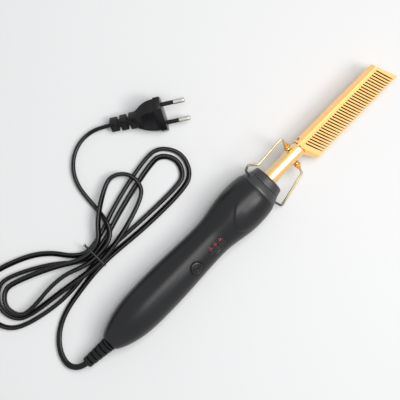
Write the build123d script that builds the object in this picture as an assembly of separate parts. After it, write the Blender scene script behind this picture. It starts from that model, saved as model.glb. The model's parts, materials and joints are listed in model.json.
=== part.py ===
from build123d import *
import math
import os

# An electric hot comb, lying on a table with its mains cord tied in a hank beside it.
# Row frame, in millimetres: +X from the cord end to the comb's tip, +Z up, the table at Z = 0.
# Inside the tool the same X is used, with Y and Z in the tool's own rolled frame:
# the controls face +Z, the comb's teeth point to -Y.

# How the tool lies
ROLL = 30.0            # the controls are turned this far from straight up, towards the teeth
TOOL_Y = 1.46          # the tool's axis, beside the origin
TAIL_X = -152.35       # cord end of the handle
CENTRE_X = 1.64        # middle of the tool's length, moved to the origin as each node is written
FIT = 0.05             # gap between pieces that fit closely

# Handle: its radius at its tail, belly, neck, bulge and rim, and where these lie along it
HANDLE_L = 164.6
WALL = 2.4
R_TAIL = 7.2
R_BELLY = 17.2
R_NECK = 15.3
R_BULGE = 19.5
R_RIM = 17.9
AT_BELLY = 0.335
AT_REST = 0.26         # where the belly rests on the table
REST_LIFT = 0.095      # the bulge rests a little behind its widest place
AT_NECK = 0.68
AT_BULGE = 0.89
TAIL_POWER = 3.3       # how quickly the handle swells from its tail
END_ROUND = 1.6

# Collar
RING_L = 7.2
RING_R0, RING_R1 = 16.3, 14.9
NOSE_L = 6.8
NOSE_R0, NOSE_R1 = 14.5, 12.7
NOSE_ROUND = 2.2
SEAM_GAP = 0.5
LIP_L = 2.5            # how far the ring goes into the handle
LIP_CLEAR = 0.1
NOSE_LIP_L = 2.0       # how far the ring goes into the nose
NOSE_LIP_R = 11.5
BUSH_R = 10.5
BUSH_FLANGE_W = 3.0
BUSH_FLANGE_T = 3.0

# Barrel and comb head
BARREL_R = 5.75
BARREL_WALL = 1.0
BARREL_OUT = 34.7      # the length that stands out of the nose
BARREL_IN = 18.0       # the length inside the collar and handle
BARREL_ROUND = 2.2
SEAT = 0.3             # gap round the barrel's end in the comb head
SPIGOT_R = 3.4
SPIGOT_L = 8.0         # from the barrel's front end back
SPIGOT_ROOT = 3.0      # from the barrel's front end on into the head
SPIGOT_CLEAR = 0.08
SPIGOT_WALL = 1.2
HEAD_A = 5.25          # spine side of the head, from the axis
HEAD_TAPER = 1.2       # how much nearer the spine comes to the axis at the tip
HEAD_B = 18.2          # tooth edge of the head, from the axis
HEAD_H = 4.5           # half thickness at the spine
HEAD_E = 1.2           # half thickness at the tooth edge
HEAD_L = 85.3          # along the spine, from the barrel's front end
SPINE_ROUND = 1.0
NEAR_BACK = 3.9        # the slanting near end crosses the axis this far behind the barrel's end
NEAR_LEAN_Y = 0.507
NEAR_LEAN_Z = 1.06
NEAR_CUT = 2.2
END_LEAN = 0.40        # the tip leans by this much per unit across
SLOTS = 33
SLOT_PITCH = 2.486
SLOT_W = 1.0
SLOT_LEAN = 0.39       # towards the tip, per unit across
SLOT_SLANT = 0.32      # towards the tip, per unit up, so the table doesn't show through a slot
SLOT_ROOT = 0.6        # where a slot starts, across the head
SLOT_X0 = 3.5          # first slot, from the barrel's front end, on the axis
HEATER_R = 1.35
HEATER_L = 80.0
HEATER_BACK = 2.0      # from the barrel's front end
HEATER_Y, HEATER_Z = 2.35, 1.3
HEAT_LEAD_R = 0.4
CHAMBER_R = 2.4        # room for the leads behind the rod
CHAMBER_Y, CHAMBER_Z = 0.5, 0.5
SENSOR_R = 0.7
SENSOR_L = 4.0
HEAD_SCREW_R = 1.5
HEAD_SCREW_L = 1.8
HEAD_SCREW_SUNK = 1.2
HEAD_SCREW_Z = -2.1
HEAD_SCREW_X = 3.0     # from the barrel's front end

# Wire stand, a bail hinged in the sides of the collar
WIRE_R = 0.9
PIVOT_BACK = 9.4       # behind the nose's front face
PIVOT_DEPTH = 3.8
PIVOT_CLEAR = 0.06
PIVOT_WALL = 1.2       # between the pivots and the bush
EAR_LEFT, EAR_RIGHT = 22.3, 25.7
LEG_BEND = 15.9
FOOT_LEFT = (28.5, 17.7)    # front corner of the left leg: ahead of the nose, and across
FOOT_RIGHT = (22.0, 18.0)
DIP_HALF = 7.7         # the foot dips under the barrel between these
DIP_GAP = 0.6
EAR_BEND, KNEE_BEND, CORNER_BEND, DIP_BEND = 1.8, 3.2, 2.0, 1.6
BEAD_R = 3.3
BEAD_NECK_R = 2.3
BEAD_L = 7.2
BEAD_GAP = 0.35

# Controls
BUTTON_X = -63.5
BUTTON_R = 5.0
BUTTON_PROUD = 0.35
BUTTON_TRAVEL = 0.8
BUTTON_CLEAR = 0.09
BUTTON_RING_W = 1.2
BUTTON_UNDER = 0.3     # between the button's flange and its ring
BUTTON_FLANGE_T = 1.0
FLANGE_OUT = 0.8
STEM_R = 1.3
RING_FLOOR = 12.2      # underside of the ring, from the axis
RING_SUNK = 0.1
WINDOW_X = -40.3
WINDOW_L, WINDOW_W = 15.8, 10.4
WINDOW_T = 1.6
WINDOW_SUNK = 0.05
WINDOW_CLEAR = 0.1
LED_R = 1.5
LED_PITCH = 5.1
LED_Y = 1.9
LED_TOP = 12.4
LED_CLEAR = 0.1
LED_WALL = 1.1

# Circuit board and what is on it
BOARD_X0, BOARD_X1 = -91.0, -17.0
BOARD_W = 18.0
BOARD_T = 1.6
BOARD_TOP = 7.0
SWITCH_SIDE = 6.0
SWITCH_H = 2.3
PLUNGER_R = 1.7
PLUNGER_H = 2.1
PLUNGER_CLEAR = 0.08
PLUNGER_OUT = 1.0      # how far the plunger stands out of the switch
HOLDER_H = 3.2
POST_R = 2.6
POST_IN = 5.0          # from the board's ends
CHIP_X, CHIP_L, CHIP_W, CHIP_H = -67.0, 8.0, 6.0, 1.6
FILM_X, FILM_L, FILM_W, FILM_H = -51.0, 13.0, 9.0, 9.0
TRIAC_X, TRIAC_T, TRIAC_W, TRIAC_H = -31.0, 4.0, 10.0, 9.5
FUSE_R, FUSE_L = 1.8, 9.0
LEAD_R = 0.5

# Screws
SCREW_R = 1.1
SCREW_HEAD_R = 2.3
SCREW_HEAD_H = 1.6
SCREW_LOOSE = 0.2
SCREW_TIGHT = 0.04
BOSS_R = 3.2
BOARD_SCREW_L = 6.0
HEAD_SUNK = 4.2        # the shell screws' seats, in from the handle's surface
SCREW_HOLD = 6.8       # how far they reach into the top shell
SHELL_SCREWS = ((-128.0, 9.3), (-128.0, -9.3), (-5.0, 11.8), (-5.0, -11.8))
CLAMP_X = -115.0
CLAMP_HALF = 6.6
CLAMP_W, CLAMP_T = 6.0, 2.2
CLAMP_GRIP = 0.6       # how far the bar reaches down beside the cord
CLAMP_POST_R = 2.7
CLAMP_SCREW_L = 8.0
CORD_BEYOND = 4.0      # cord past the clamp

# Mains cord, plug and tie
CORD_R = 2.2
CORD_LIFT = 0.1        # under the cord where it lies on the table
GLAND_L = 22.5
GLAND_R0, GLAND_R1 = 4.7, 3.5
GLAND_DROP = 17.0      # degrees below the table's plane
GLAND_SWING = 4.0      # degrees to the left
GLAND_RIBS = 6
GLAND_RIB_T = 1.7
GLAND_ROOT_R = 6.0
GLAND_IN = 3.0         # past the handle's end wall
GLAND_CLEAR = 0.15
RIB_DEEP = 0.75
RIB_START = 1.6        # first rib, from the handle's end
LANE = 5.0             # from strand to strand in the hank
LAYER = 4.9            # from layer to layer
TIE_X, TIE_Y = -111.6, 56.0
TIE_LIFT = 1.1
TIE_W, TIE_T = 3.0, 0.8
PLUG_X, PLUG_Y, PLUG_Z = -29.7, 120.2, 6.2
PLUG_YAW = -34.2
PLUG_RISE = 10.0
PLUG_ROLL = 43.5
BOOT_L = 21.7
BOOT_W, BOOT_T, BOOT_ROUND = 9.4, 7.4, 1.5
BOOT_CORE_R = 2.9
NOTCHES = (7.2, 14.4)  # from the cord's end of the boot
NOTCH_W = 1.4
PLUG_L = 21.7
PLUG_W, PLUG_T = 35.3, 13.7
PLUG_CUT = 6.6
PLUG_SHAPE = ((0.0, 16.0, 10.0, 3.6), (0.2, 21.5, 11.0, 4.2), (0.4, 27.0, 12.0, 5.0), (0.7, 32.0, 12.8, 5.9),
              (1.0, 34.0, 13.2, 6.3))   # share of the grip's length, width, thickness, corner cut
FLANGE_L = 5.0
PIN_R = 2.0
PIN_L = 19.0
PIN_PITCH = 18.6
SLEEVE_L = 10.0
SLEEVE_R = 1.7
PIN_NECK_R = 1.5
PIN_ROOT = 6.0
PIN_ROUND = 1.3

RIM_X = TAIL_X + HANDLE_L
NOSE_X = RIM_X + RING_L + NOSE_L
PIVOT_X = NOSE_X - PIVOT_BACK
HEAD_X = NOSE_X + BARREL_OUT
REST_X = TAIL_X + AT_REST * HANDLE_L
BULGE_X = TAIL_X + AT_BULGE * HANDLE_L
CORD_Z = CORD_R + CORD_LIFT

os.makedirs("parts", exist_ok=True)


def smooth(t):
    """An S-shaped step from 0 to 1."""
    return t * t * (3 - 2 * t)


def handle_radius(share):
    """The handle's outer radius at a share of its length from the cord end."""
    if share < AT_BELLY:
        return R_BELLY - (R_BELLY - R_TAIL) * (1 - share / AT_BELLY) ** TAIL_POWER
    if share < AT_NECK:
        return R_BELLY + (R_NECK - R_BELLY) * smooth((share - AT_BELLY) / (AT_NECK - AT_BELLY))
    if share < AT_BULGE:
        return R_NECK + (R_BULGE - R_NECK) * smooth((share - AT_NECK) / (AT_BULGE - AT_NECK))
    return R_BULGE - (R_BULGE - R_RIM) * ((share - AT_BULGE) / (1 - AT_BULGE)) ** 3


# The tool lies on its belly and its bulge, so its axis drops towards the cord end
PITCH = math.degrees(math.asin((R_BULGE - handle_radius(AT_REST)) / (BULGE_X - REST_X)))
TOOL = Pos(BULGE_X, TOOL_Y, R_BULGE + REST_LIFT) * Rot(0, -PITCH, 0) * Rot(ROLL, 0, 0) * Pos(-BULGE_X, 0, 0)
tail_at = (TOOL * Pos(TAIL_X, 0, 0)).position


def write(name, shape):
    """Write one node, moved so that the tool's middle is over the origin."""
    to_origin = Pos(-CENTRE_X, 0, 0)
    pieces = [to_origin * piece for piece in shape.children]
    shape = Compound(children=pieces) if pieces else to_origin * shape
    shape.label = name
    export_step(shape, "parts/" + name + ".step")


def x_cylinder(r, x0, x1, y=0.0, z=0.0):
    """A cylinder along X."""
    return Pos(x0, y, z) * Rot(0, 90, 0) * Cylinder(r, x1 - x0, align=(Align.CENTER, Align.CENTER, Align.MIN))


def z_cylinder(r, z0, z1, x=0.0, y=0.0):
    """A cylinder along Z."""
    return Pos(x, y, z0) * Cylinder(r, z1 - z0, align=(Align.CENTER, Align.CENTER, Align.MIN))


def block(x0, x1, y0, y1, z0, z1):
    """A box between two corners."""
    return Pos(x0, y0, z0) * Box(x1 - x0, y1 - y0, z1 - z0, align=(Align.MIN, Align.MIN, Align.MIN))


def turned(points, curve=False):
    """A solid turned about X from an outline above the axis."""
    line = Spline(*points) if curve else Polyline(*points)
    x0, x1 = points[0][0], points[-1][0]
    ends = Polyline(points[-1], (x1, 0), (x0, 0), points[0])
    return revolve(make_face(line + ends), axis=Axis.X)


def handle_body(shrink=0.0, x_in=0.0, x_out=0.0):
    """The handle's outside, or a smaller copy of it inside."""
    shares = [0.0, 0.015, 0.035, 0.06, 0.09, 0.13, 0.18, 0.24, 0.3, 0.36, 0.42, 0.48, 0.54, 0.6, 0.66,
              0.71, 0.76, 0.8, 0.84, 0.87, 0.9, 0.93, 0.965, 1.0]
    points = [(TAIL_X + s * HANDLE_L, handle_radius(s) - shrink) for s in shares]
    whole = turned(points, curve=True)
    if x_in or x_out:
        keep = block(TAIL_X + x_in, RIM_X - x_out, -60, 60, -60, 60)
        whole = whole & keep
    return whole


def shell_radius(x):
    """The handle's outer radius at X."""
    return handle_radius((x - TAIL_X) / HANDLE_L)


def screw(x, y, z_seat, length, up=1.0):
    """A pan-head screw with its seat at z_seat, its shank going up (1) or down (-1)."""
    head = z_cylinder(SCREW_HEAD_R, -SCREW_HEAD_H, 0)
    head = fillet(head.edges().filter_by(GeomType.CIRCLE).sort_by(Axis.Z)[0], 0.5)
    slot = Pos(0, 0, -SCREW_HEAD_H) * Box(2.6, 0.6, 1.2) + Pos(0, 0, -SCREW_HEAD_H) * Box(0.6, 2.6, 1.2)
    body = head - slot + z_cylinder(SCREW_R, 0, length)
    turn = Rot(0, 0, 0) if up > 0 else Rot(180, 0, 0)
    return Pos(x, y, z_seat) * turn * body


# Cord route

def wire_along(points, r, bends):
    """A round wire along straight runs, with bends of the radius given."""
    path = FilletPolyline(*points, radius=bends)
    return sweep(Plane(origin=path @ 0, z_dir=path % 0) * Circle(r), path=path)


def bent_tube(points, r, label):
    """A tube along straight runs and tangent arcs, each arc as large as its runs allow."""
    radii = []
    for i in range(1, len(points) - 1):
        before = Vector(*points[i]) - Vector(*points[i - 1])
        after = Vector(*points[i + 1]) - Vector(*points[i])
        turn = before.get_angle(after)
        radii.append(0.45 * min(before.length, after.length) / math.tan(math.radians(turn / 2)))
    path = FilletPolyline(*points, radius=radii)
    start = Plane(origin=path @ 0, z_dir=path % 0)
    tube = sweep(start * Circle(r), path=path)
    want = math.pi * r * r * path.length
    print(label, "length", round(path.length, 1), "tightest", round(min(radii), 1),
          "volume ratio", round(tube.volume / want, 4))
    return tube, path


def gland_axis():
    """Direction of the cord gland, away from the handle."""
    drop, swing = math.radians(GLAND_DROP), math.radians(GLAND_SWING)
    return Vector(-math.cos(drop) * math.cos(swing), math.cos(drop) * math.sin(swing), -math.sin(drop))


def hank_loop(out_lane, back_lane, side, reach, width, lean, draw, z):
    """One loop of the hank: out from the tie on one lane, round its end and back on the other.

    side is 1 towards the comb and -1 towards the cord end. The round end is half of a ring as
    wide as the loop. draw says how wide the loop still is halfway in, on its way out and back,
    and z gives its height there, round the end, and halfway back.
    """
    lean = math.radians(lean)
    half = width / 2
    ring = reach - half
    turn = -1 if out_lane < back_lane else 1
    outline = [(0.5 * ring, turn * draw[0] * half, z[0]), (ring, turn * 1.07 * half, z[1])]
    for k in (50, 0, -50):
        a = math.radians(k)
        outline.append((ring + 1.09 * half * math.cos(a), turn * 1.09 * half * math.sin(a), z[1]))
    outline += [(ring, -turn * 1.07 * half, z[1]), (0.5 * ring, -turn * draw[1] * half, z[2])]
    points = []
    for u, v, height in outline:
        points.append((TIE_X + side * (u * math.cos(lean) - v * math.sin(lean)),
                       TIE_Y + u * math.sin(lean) + v * math.cos(lean), height))
    return points


def waist(lane, layer, direction):
    """Two points where a strand runs straight through the tie. direction is the way it runs."""
    y = TIE_Y + lane * LANE
    z = CORD_Z + TIE_LIFT + layer * LAYER
    return [(TIE_X - direction * 9.0, y, z), (TIE_X + direction * 9.0, y, z)]


# Loops of the hank, in the order in which the cord runs through them: lanes of the tie that each
# leaves and comes back on, which way it lies, its size, its lean and its heights
LOOPS = (
    dict(out_lane=-1.5, back_lane=1.5, side=1, reach=104.5, width=37.0, lean=5.0,
         draw=(0.82, 0.82), z=(CORD_Z, CORD_Z, CORD_Z)),
    dict(out_lane=1.5, back_lane=-0.5, side=-1, reach=97.0, width=47.0, lean=20.0,
         draw=(0.96, 0.84), z=(CORD_Z, CORD_Z, CORD_Z)),
    dict(out_lane=-0.5, back_lane=0.5, side=1, reach=98.6, width=26.4, lean=4.8,
         draw=(0.68, 0.7), z=(CORD_Z, CORD_Z, CORD_Z)),
    dict(out_lane=0.5, back_lane=-1.0, side=-1, reach=85.0, width=33.0, lean=18.5,
         draw=(0.7, 0.7), z=(CORD_Z, CORD_Z, CORD_Z + 1.15 * LAYER)),
    dict(out_lane=-1.0, back_lane=1.0, side=1, reach=69.0, width=28.5, lean=22.0,
         draw=(0.9, 0.74), z=(CORD_Z + 1.2 * LAYER, CORD_Z + LAYER, CORD_Z + 1.5 * LAYER)),
    dict(out_lane=1.0, back_lane=0.0, side=-1, reach=80.0, width=25.0, lean=17.0,
         draw=(0.74, 0.0), z=(CORD_Z + 1.1 * LAYER, CORD_Z + LAYER, CORD_Z + 1.1 * LAYER)),
)
LAYERS = (0, 0, 0, 0, 1, 1, 1)


def cord_route():
    """Points of the whole cord, from the gland to the plug, and where its hank starts and ends."""
    exit_dir = gland_axis()
    exit_at = tail_at + exit_dir * GLAND_L
    bend = exit_at + exit_dir * 8.0
    lead = [tuple(exit_at), tuple(bend),
            (-188.0, 10.5, 3.4), (-186.6, 20.5, CORD_Z), (-180.5, 30.0, CORD_Z),
            (-170.8, 37.9, CORD_Z), (-158.0, 43.4, CORD_Z), (-139.5, 46.4, CORD_Z)]
    points = list(lead)
    direction = 1
    for i, loop in enumerate(LOOPS):
        points += waist(loop["out_lane"], LAYERS[i], direction)
        points += hank_loop(**loop)
        direction = -direction
    points += waist(LOOPS[-1]["back_lane"], LAYERS[-1], direction)
    over = CORD_Z + LAYER
    points += [(-93.2, 58.9, over + 1.1), (-88.3, 65.0, over + 1.2), (-86.2, 71.6, over + 0.6),
               (-84.8, 79.6, CORD_Z)]
    into = (Rot(0, 0, PLUG_YAW) * Rot(0, -PLUG_RISE, 0) * Pos(1, 0, 0)).position
    plug = Vector(PLUG_X, PLUG_Y, PLUG_Z)
    tail_end = plug - into * 8.5
    points += [(-83.9, 92.0, CORD_Z), (-82.2, 104.5, CORD_Z), (-77.0, 115.6, CORD_Z),
               (-68.3, 123.9, CORD_Z), (-57.5, 128.4, CORD_Z), (-46.8, 128.6, CORD_Z),
               tuple(tail_end), tuple(plug)]
    return points, len(lead) - 1, len(points) - 7


def middle(a, b):
    """Halfway between two points."""
    return tuple((p + q) / 2 for p, q in zip(a, b))


def least_gap(path, r, skip):
    """The least gap of a tube to itself, between points of its path further apart than skip."""
    steps = int(path.length / 1.2)
    spots = [path @ (i / steps) for i in range(steps + 1)]
    near = 1e9
    for i, a in enumerate(spots):
        for j in range(i + skip, len(spots)):
            b = spots[j]
            near = min(near, (a.X - b.X) ** 2 + (a.Y - b.Y) ** 2 + (a.Z - b.Z) ** 2)
    return math.sqrt(near) - 2 * r


points, hank_from, hank_to = cord_route()
start = middle(points[hank_from], points[hank_from + 1])
end = middle(points[hank_to], points[hank_to + 1])
lead_tube, lead_path = bent_tube(points[:hank_from + 1] + [start], CORD_R, "handle lead")
hank_tube, hank_path = bent_tube([start] + points[hank_from + 1:hank_to + 1] + [end], CORD_R, "hank")
plug_tube, plug_path = bent_tube([end] + points[hank_to + 1:], CORD_R, "plug lead")
print("hank's least gap to itself", round(least_gap(hank_path, CORD_R, 12), 2))
print("cord length", round(lead_path.length + hank_path.length + plug_path.length, 1))
write("cord_handle_lead", lead_tube)
write("cord_hank", hank_tube)
write("cord_plug_lead", plug_tube)

# Twist tie round the waist of the hank
tie_low = TIE_LIFT + CORD_LIFT - 0.1
tie_high = CORD_Z + TIE_LIFT + LAYER + CORD_R + 0.15
tie_half = 1.5 * LANE + CORD_R + 0.2
tie_mid = (tie_low + tie_high) / 2
hole = RectangleRounded(tie_high - tie_low, 2 * tie_half, 2.0)
rim = RectangleRounded(tie_high - tie_low + 2 * TIE_T, 2 * (tie_half + TIE_T), 2.0 + TIE_T)
tie_plane = Plane(origin=(TIE_X - TIE_W / 2, TIE_Y, tie_mid), x_dir=(0, 0, 1), z_dir=(1, 0, 0))
tie = extrude(tie_plane * (rim - hole), TIE_W)
for lean in (25, -25):
    tail = Pos(TIE_X, TIE_Y - 4.0, tie_high + 0.4) * Rot(lean, 0, 0) * z_cylinder(0.55, 0, 7.5)
    tie += tail
write("twist_tie", tie)


# Plug: its own frame has +X towards the pins, from the cord's end of its boot
PLUG = Pos(PLUG_X, PLUG_Y, PLUG_Z) * Rot(0, 0, PLUG_YAW) * Rot(0, -PLUG_RISE, 0) * Rot(PLUG_ROLL, 0, 0)


def plug_section(x, width, thick, cut):
    """A six-sided section of the plug's body."""
    half, side = width / 2, thick / 2
    corners = [(half, 0), (half - cut, side), (cut - half, side), (-half, 0), (cut - half, -side),
               (half - cut, -side)]
    plane = Plane(origin=(x, 0, 0), x_dir=(0, 1, 0), z_dir=(1, 0, 0))
    return plane * make_face(Polyline(*corners, close=True))


face_x = BOOT_L + PLUG_L
flange_x = face_x - FLANGE_L
grip_l = flange_x - BOOT_L + 0.5
body = loft([plug_section(BOOT_L - 0.5 + share * grip_l, *size) for share, *size in PLUG_SHAPE])
body += extrude(plug_section(flange_x, PLUG_W, PLUG_T, PLUG_CUT), FLANGE_L)
boot_plane = Plane(origin=(0, 0, 0), x_dir=(0, 1, 0), z_dir=(1, 0, 0))
boot = extrude(boot_plane * RectangleRounded(BOOT_W, BOOT_T, BOOT_ROUND), BOOT_L)
for x in NOTCHES:
    boot -= block(x, x + NOTCH_W, -10, 10, -10, 10) - x_cylinder(BOOT_CORE_R, x - 1, x + NOTCH_W + 1)
body += boot
for side in (1, -1):
    body -= x_cylinder(PIN_NECK_R, face_x - PIN_ROOT, face_x + 1, side * PIN_PITCH / 2)
write("plug_body", PLUG * body)

sleeves = []
for side, name in ((1, "plug_pin_left"), (-1, "plug_pin_right")):
    y = side * PIN_PITCH / 2
    pin = x_cylinder(PIN_NECK_R, face_x - PIN_ROOT, face_x + SLEEVE_L, y)
    pin += x_cylinder(PIN_R, face_x + SLEEVE_L, face_x + PIN_L, y)
    pin = fillet(pin.edges().filter_by(GeomType.CIRCLE).sort_by(Axis.X)[-1], PIN_ROUND)
    write(name, PLUG * pin)
    tube = x_cylinder(SLEEVE_R, face_x, face_x + SLEEVE_L, y)
    sleeves.append(PLUG * (tube - x_cylinder(PIN_NECK_R + FIT, face_x, face_x + SLEEVE_L, y)))
write("pin_sleeves", Compound(children=sleeves))

# Cord gland: a flange inside the handle's end, and a ribbed tail moulded over the cord
away = gland_axis()
gland_end = TAIL_X + WALL + GLAND_IN
core_at = Plane(origin=tail_at - away * GLAND_IN, z_dir=away)
gland = Solid.make_cone(GLAND_R0 - RIB_DEEP, GLAND_R1 - RIB_DEEP, GLAND_L + GLAND_IN, core_at)
for i in range(GLAND_RIBS):
    at = RIB_START + i * (GLAND_L - RIB_START) / GLAND_RIBS
    r = GLAND_R0 + (GLAND_R1 - GLAND_R0) * (at / GLAND_L)
    gland += Solid.make_cylinder(r, GLAND_RIB_T, Plane(origin=tail_at + away * at, z_dir=away))
root = x_cylinder(GLAND_R0, TAIL_X + 0.3, gland_end)
root += x_cylinder(GLAND_ROOT_R, TAIL_X + WALL + FIT, gland_end - 0.4)
write("cord_gland", gland + TOOL * root)

# Handle shells, split along the tool's XY plane
upper = block(-300, 300, -60, 60, 0, 60)
lower = block(-300, 300, -60, 60, -60, 0)
outside = handle_body()
outside = fillet(outside.edges().filter_by(GeomType.CIRCLE).sort_by(Axis.X)[0], END_ROUND)
inside = handle_body(shrink=WALL, x_in=WALL) + x_cylinder(R_RIM - WALL, RIM_X - LIP_L, RIM_X + 1)
shell = outside - inside - x_cylinder(GLAND_R0 + GLAND_CLEAR, TAIL_X - 1, TAIL_X + WALL + 1)
top = shell & upper
bottom = shell & lower
within = handle_body(shrink=WALL / 2)
cavity_top = within & upper
cavity_low = within & lower

shell_screws = []
for x, y in SHELL_SCREWS:
    seat = HEAD_SUNK - math.sqrt(shell_radius(x) ** 2 - y * y)
    top += z_cylinder(BOSS_R, 0, 30, x, y) & cavity_top
    top -= z_cylinder(SCREW_R + SCREW_TIGHT, -1, SCREW_HOLD + 0.6, x, y)
    bottom += z_cylinder(BOSS_R, -30, 0, x, y) & cavity_low
    bottom -= z_cylinder(SCREW_R + SCREW_LOOSE, -40, 1, x, y)
    bottom -= z_cylinder(SCREW_HEAD_R + SCREW_LOOSE, -40, seat, x, y)
    shell_screws.append(TOOL * screw(x, y, seat, SCREW_HOLD - seat))
write("shell_screws", Compound(children=shell_screws))

# Circuit board, hung from two posts of the top shell
board_low = BOARD_TOP - BOARD_T
board = block(BOARD_X0, BOARD_X1, -BOARD_W / 2, BOARD_W / 2, board_low, BOARD_TOP)
board_screws = []
for x in (BOARD_X0 + POST_IN, BOARD_X1 - POST_IN):
    top += z_cylinder(POST_R, BOARD_TOP, 30, x) & cavity_top
    top -= z_cylinder(SCREW_R + SCREW_TIGHT, BOARD_TOP - 1, board_low + BOARD_SCREW_L + 0.5, x)
    board -= z_cylinder(SCREW_R + SCREW_LOOSE, board_low - 1, BOARD_TOP + 1, x)
    board_screws.append(TOOL * screw(x, 0, board_low, BOARD_SCREW_L))
write("board_screws", Compound(children=board_screws))
write("circuit_board", TOOL * board)

# Button, its ring, and the switch under it
ring_in = BUTTON_R + BUTTON_CLEAR
ring_out = ring_in + BUTTON_RING_W
top -= z_cylinder(ring_out + FIT, BOARD_TOP + 3, 40, BUTTON_X)
button_ring = z_cylinder(ring_out, RING_FLOOR, 40, BUTTON_X) - z_cylinder(ring_in, 0, 41, BUTTON_X)
write("button_ring", TOOL * (button_ring & handle_body(shrink=RING_SUNK)))
switch_top = BOARD_TOP + SWITCH_H
plunger_top = switch_top + PLUNGER_OUT
flange_top = RING_FLOOR - BUTTON_UNDER
button = z_cylinder(BUTTON_R, flange_top, 40, BUTTON_X) & handle_body(shrink=-BUTTON_PROUD)
button += z_cylinder(BUTTON_R + FLANGE_OUT, flange_top - BUTTON_FLANGE_T, flange_top, BUTTON_X)
button += z_cylinder(STEM_R, plunger_top, flange_top, BUTTON_X)
write("power_button", TOOL * button)
half = SWITCH_SIDE / 2
switch = block(BUTTON_X - half, BUTTON_X + half, -half, half, BOARD_TOP, switch_top)
plunger_low = plunger_top - PLUNGER_H
switch -= z_cylinder(PLUNGER_R + PLUNGER_CLEAR, plunger_low - BUTTON_TRAVEL - 0.1, switch_top + 1, BUTTON_X)
write("switch_body", TOOL * switch)
write("switch_plunger", TOOL * z_cylinder(PLUNGER_R, plunger_low, plunger_top, BUTTON_X))

# Display window, the indicator lamps and their holder
window = Pos(WINDOW_X, 0, 0) * extrude(Ellipse(WINDOW_L / 2, WINDOW_W / 2), 40)
top -= Pos(WINDOW_X, 0, 0) * extrude(Ellipse(WINDOW_L / 2 + WINDOW_CLEAR, WINDOW_W / 2 + WINDOW_CLEAR), 40)
window = (window & handle_body(shrink=WINDOW_SUNK)) - handle_body(shrink=WINDOW_SUNK + WINDOW_T)
write("display_window", TOOL * window)
holder_x = LED_PITCH + LED_R + LED_WALL
holder = block(WINDOW_X - holder_x, WINDOW_X + holder_x, LED_Y - LED_R - LED_WALL,
               LED_Y + LED_R + LED_WALL, BOARD_TOP, BOARD_TOP + HOLDER_H)
lamps = []
for i in (-1, 0, 1):
    x = WINDOW_X + i * LED_PITCH
    holder -= z_cylinder(LED_R + LED_CLEAR, 0, 40, x, LED_Y)
    lamp = z_cylinder(LED_R, BOARD_TOP, LED_TOP - LED_R, x, LED_Y)
    lamps.append(TOOL * (lamp + Pos(x, LED_Y, LED_TOP - LED_R) * Sphere(LED_R)))
write("led_holder", TOOL * holder)
write("indicator_lamps", Compound(children=lamps))

# Parts under the board: control chip, suppression capacitor, triac and thermal fuse
chip = block(CHIP_X, CHIP_X + CHIP_L, -CHIP_W / 2, CHIP_W / 2, board_low - CHIP_H, board_low)
write("control_chip", TOOL * chip)
film = block(FILM_X, FILM_X + FILM_L, -FILM_W / 2, FILM_W / 2, board_low - FILM_H, board_low)
write("film_capacitor", TOOL * fillet(film.edges().filter_by(Axis.Z), 1.0))
triac = block(TRIAC_X, TRIAC_X + TRIAC_T, -TRIAC_W / 2, TRIAC_W / 2, board_low - TRIAC_H, board_low)
write("triac", TOOL * triac)
fuse_y = TRIAC_W / 2 + FUSE_R + 0.2
write("thermal_fuse", TOOL * x_cylinder(FUSE_R, TRIAC_X - 6, TRIAC_X - 6 + FUSE_L, fuse_y, board_low - FUSE_R))

# Cord inside the handle, its clamp and its two leads
cord_end_x = CLAMP_X + CLAMP_W / 2 + CORD_BEYOND
write("cord_inside", TOOL * x_cylinder(CORD_R, gland_end, cord_end_x))
clamp_x0, clamp_x1 = CLAMP_X - CLAMP_W / 2, CLAMP_X + CLAMP_W / 2
bar_low = CORD_R - CLAMP_GRIP
bar_top = bar_low + CLAMP_T
reach = CLAMP_HALF + 3.0
bar = block(clamp_x0, clamp_x1, -reach, reach, bar_low, bar_top)
bar -= x_cylinder(CORD_R + FIT, clamp_x0 - 1, clamp_x1 + 1)
bottom += block(clamp_x0, clamp_x1, -2.4, 2.4, -30, -CORD_R - FIT) & cavity_low
posts = cavity_low + block(clamp_x0 - 3, clamp_x1 + 3, -reach - 3, reach + 3, -0.5, bar_low)
clamp_screws = []
for side in (1, -1):
    y = side * CLAMP_HALF
    bottom += z_cylinder(CLAMP_POST_R, -30, bar_low, CLAMP_X, y) & posts
    bottom -= z_cylinder(SCREW_R + SCREW_TIGHT, bar_top - CLAMP_SCREW_L - 0.6, 5, CLAMP_X, y)
    bar -= z_cylinder(SCREW_R + SCREW_LOOSE, 0, bar_top + 1, CLAMP_X, y)
    clamp_screws.append(TOOL * screw(CLAMP_X, y, bar_top, CLAMP_SCREW_L, up=-1.0))
write("cord_clamp", TOOL * bar)
write("clamp_screws", Compound(children=clamp_screws))
wires = []
for side in (1, -1):
    y = side * CORD_R * 0.42
    wires.append(TOOL * wire_along([(cord_end_x, y, 0), (cord_end_x + 7, y, 0),
                                    (BOARD_X0 - 3.5, side * 3.4, 2.6),
                                    (BOARD_X0 + 11, side * 4.5, board_low - LEAD_R - FIT)], LEAD_R, 2.0))
write("mains_leads", Compound(children=wires))

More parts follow.
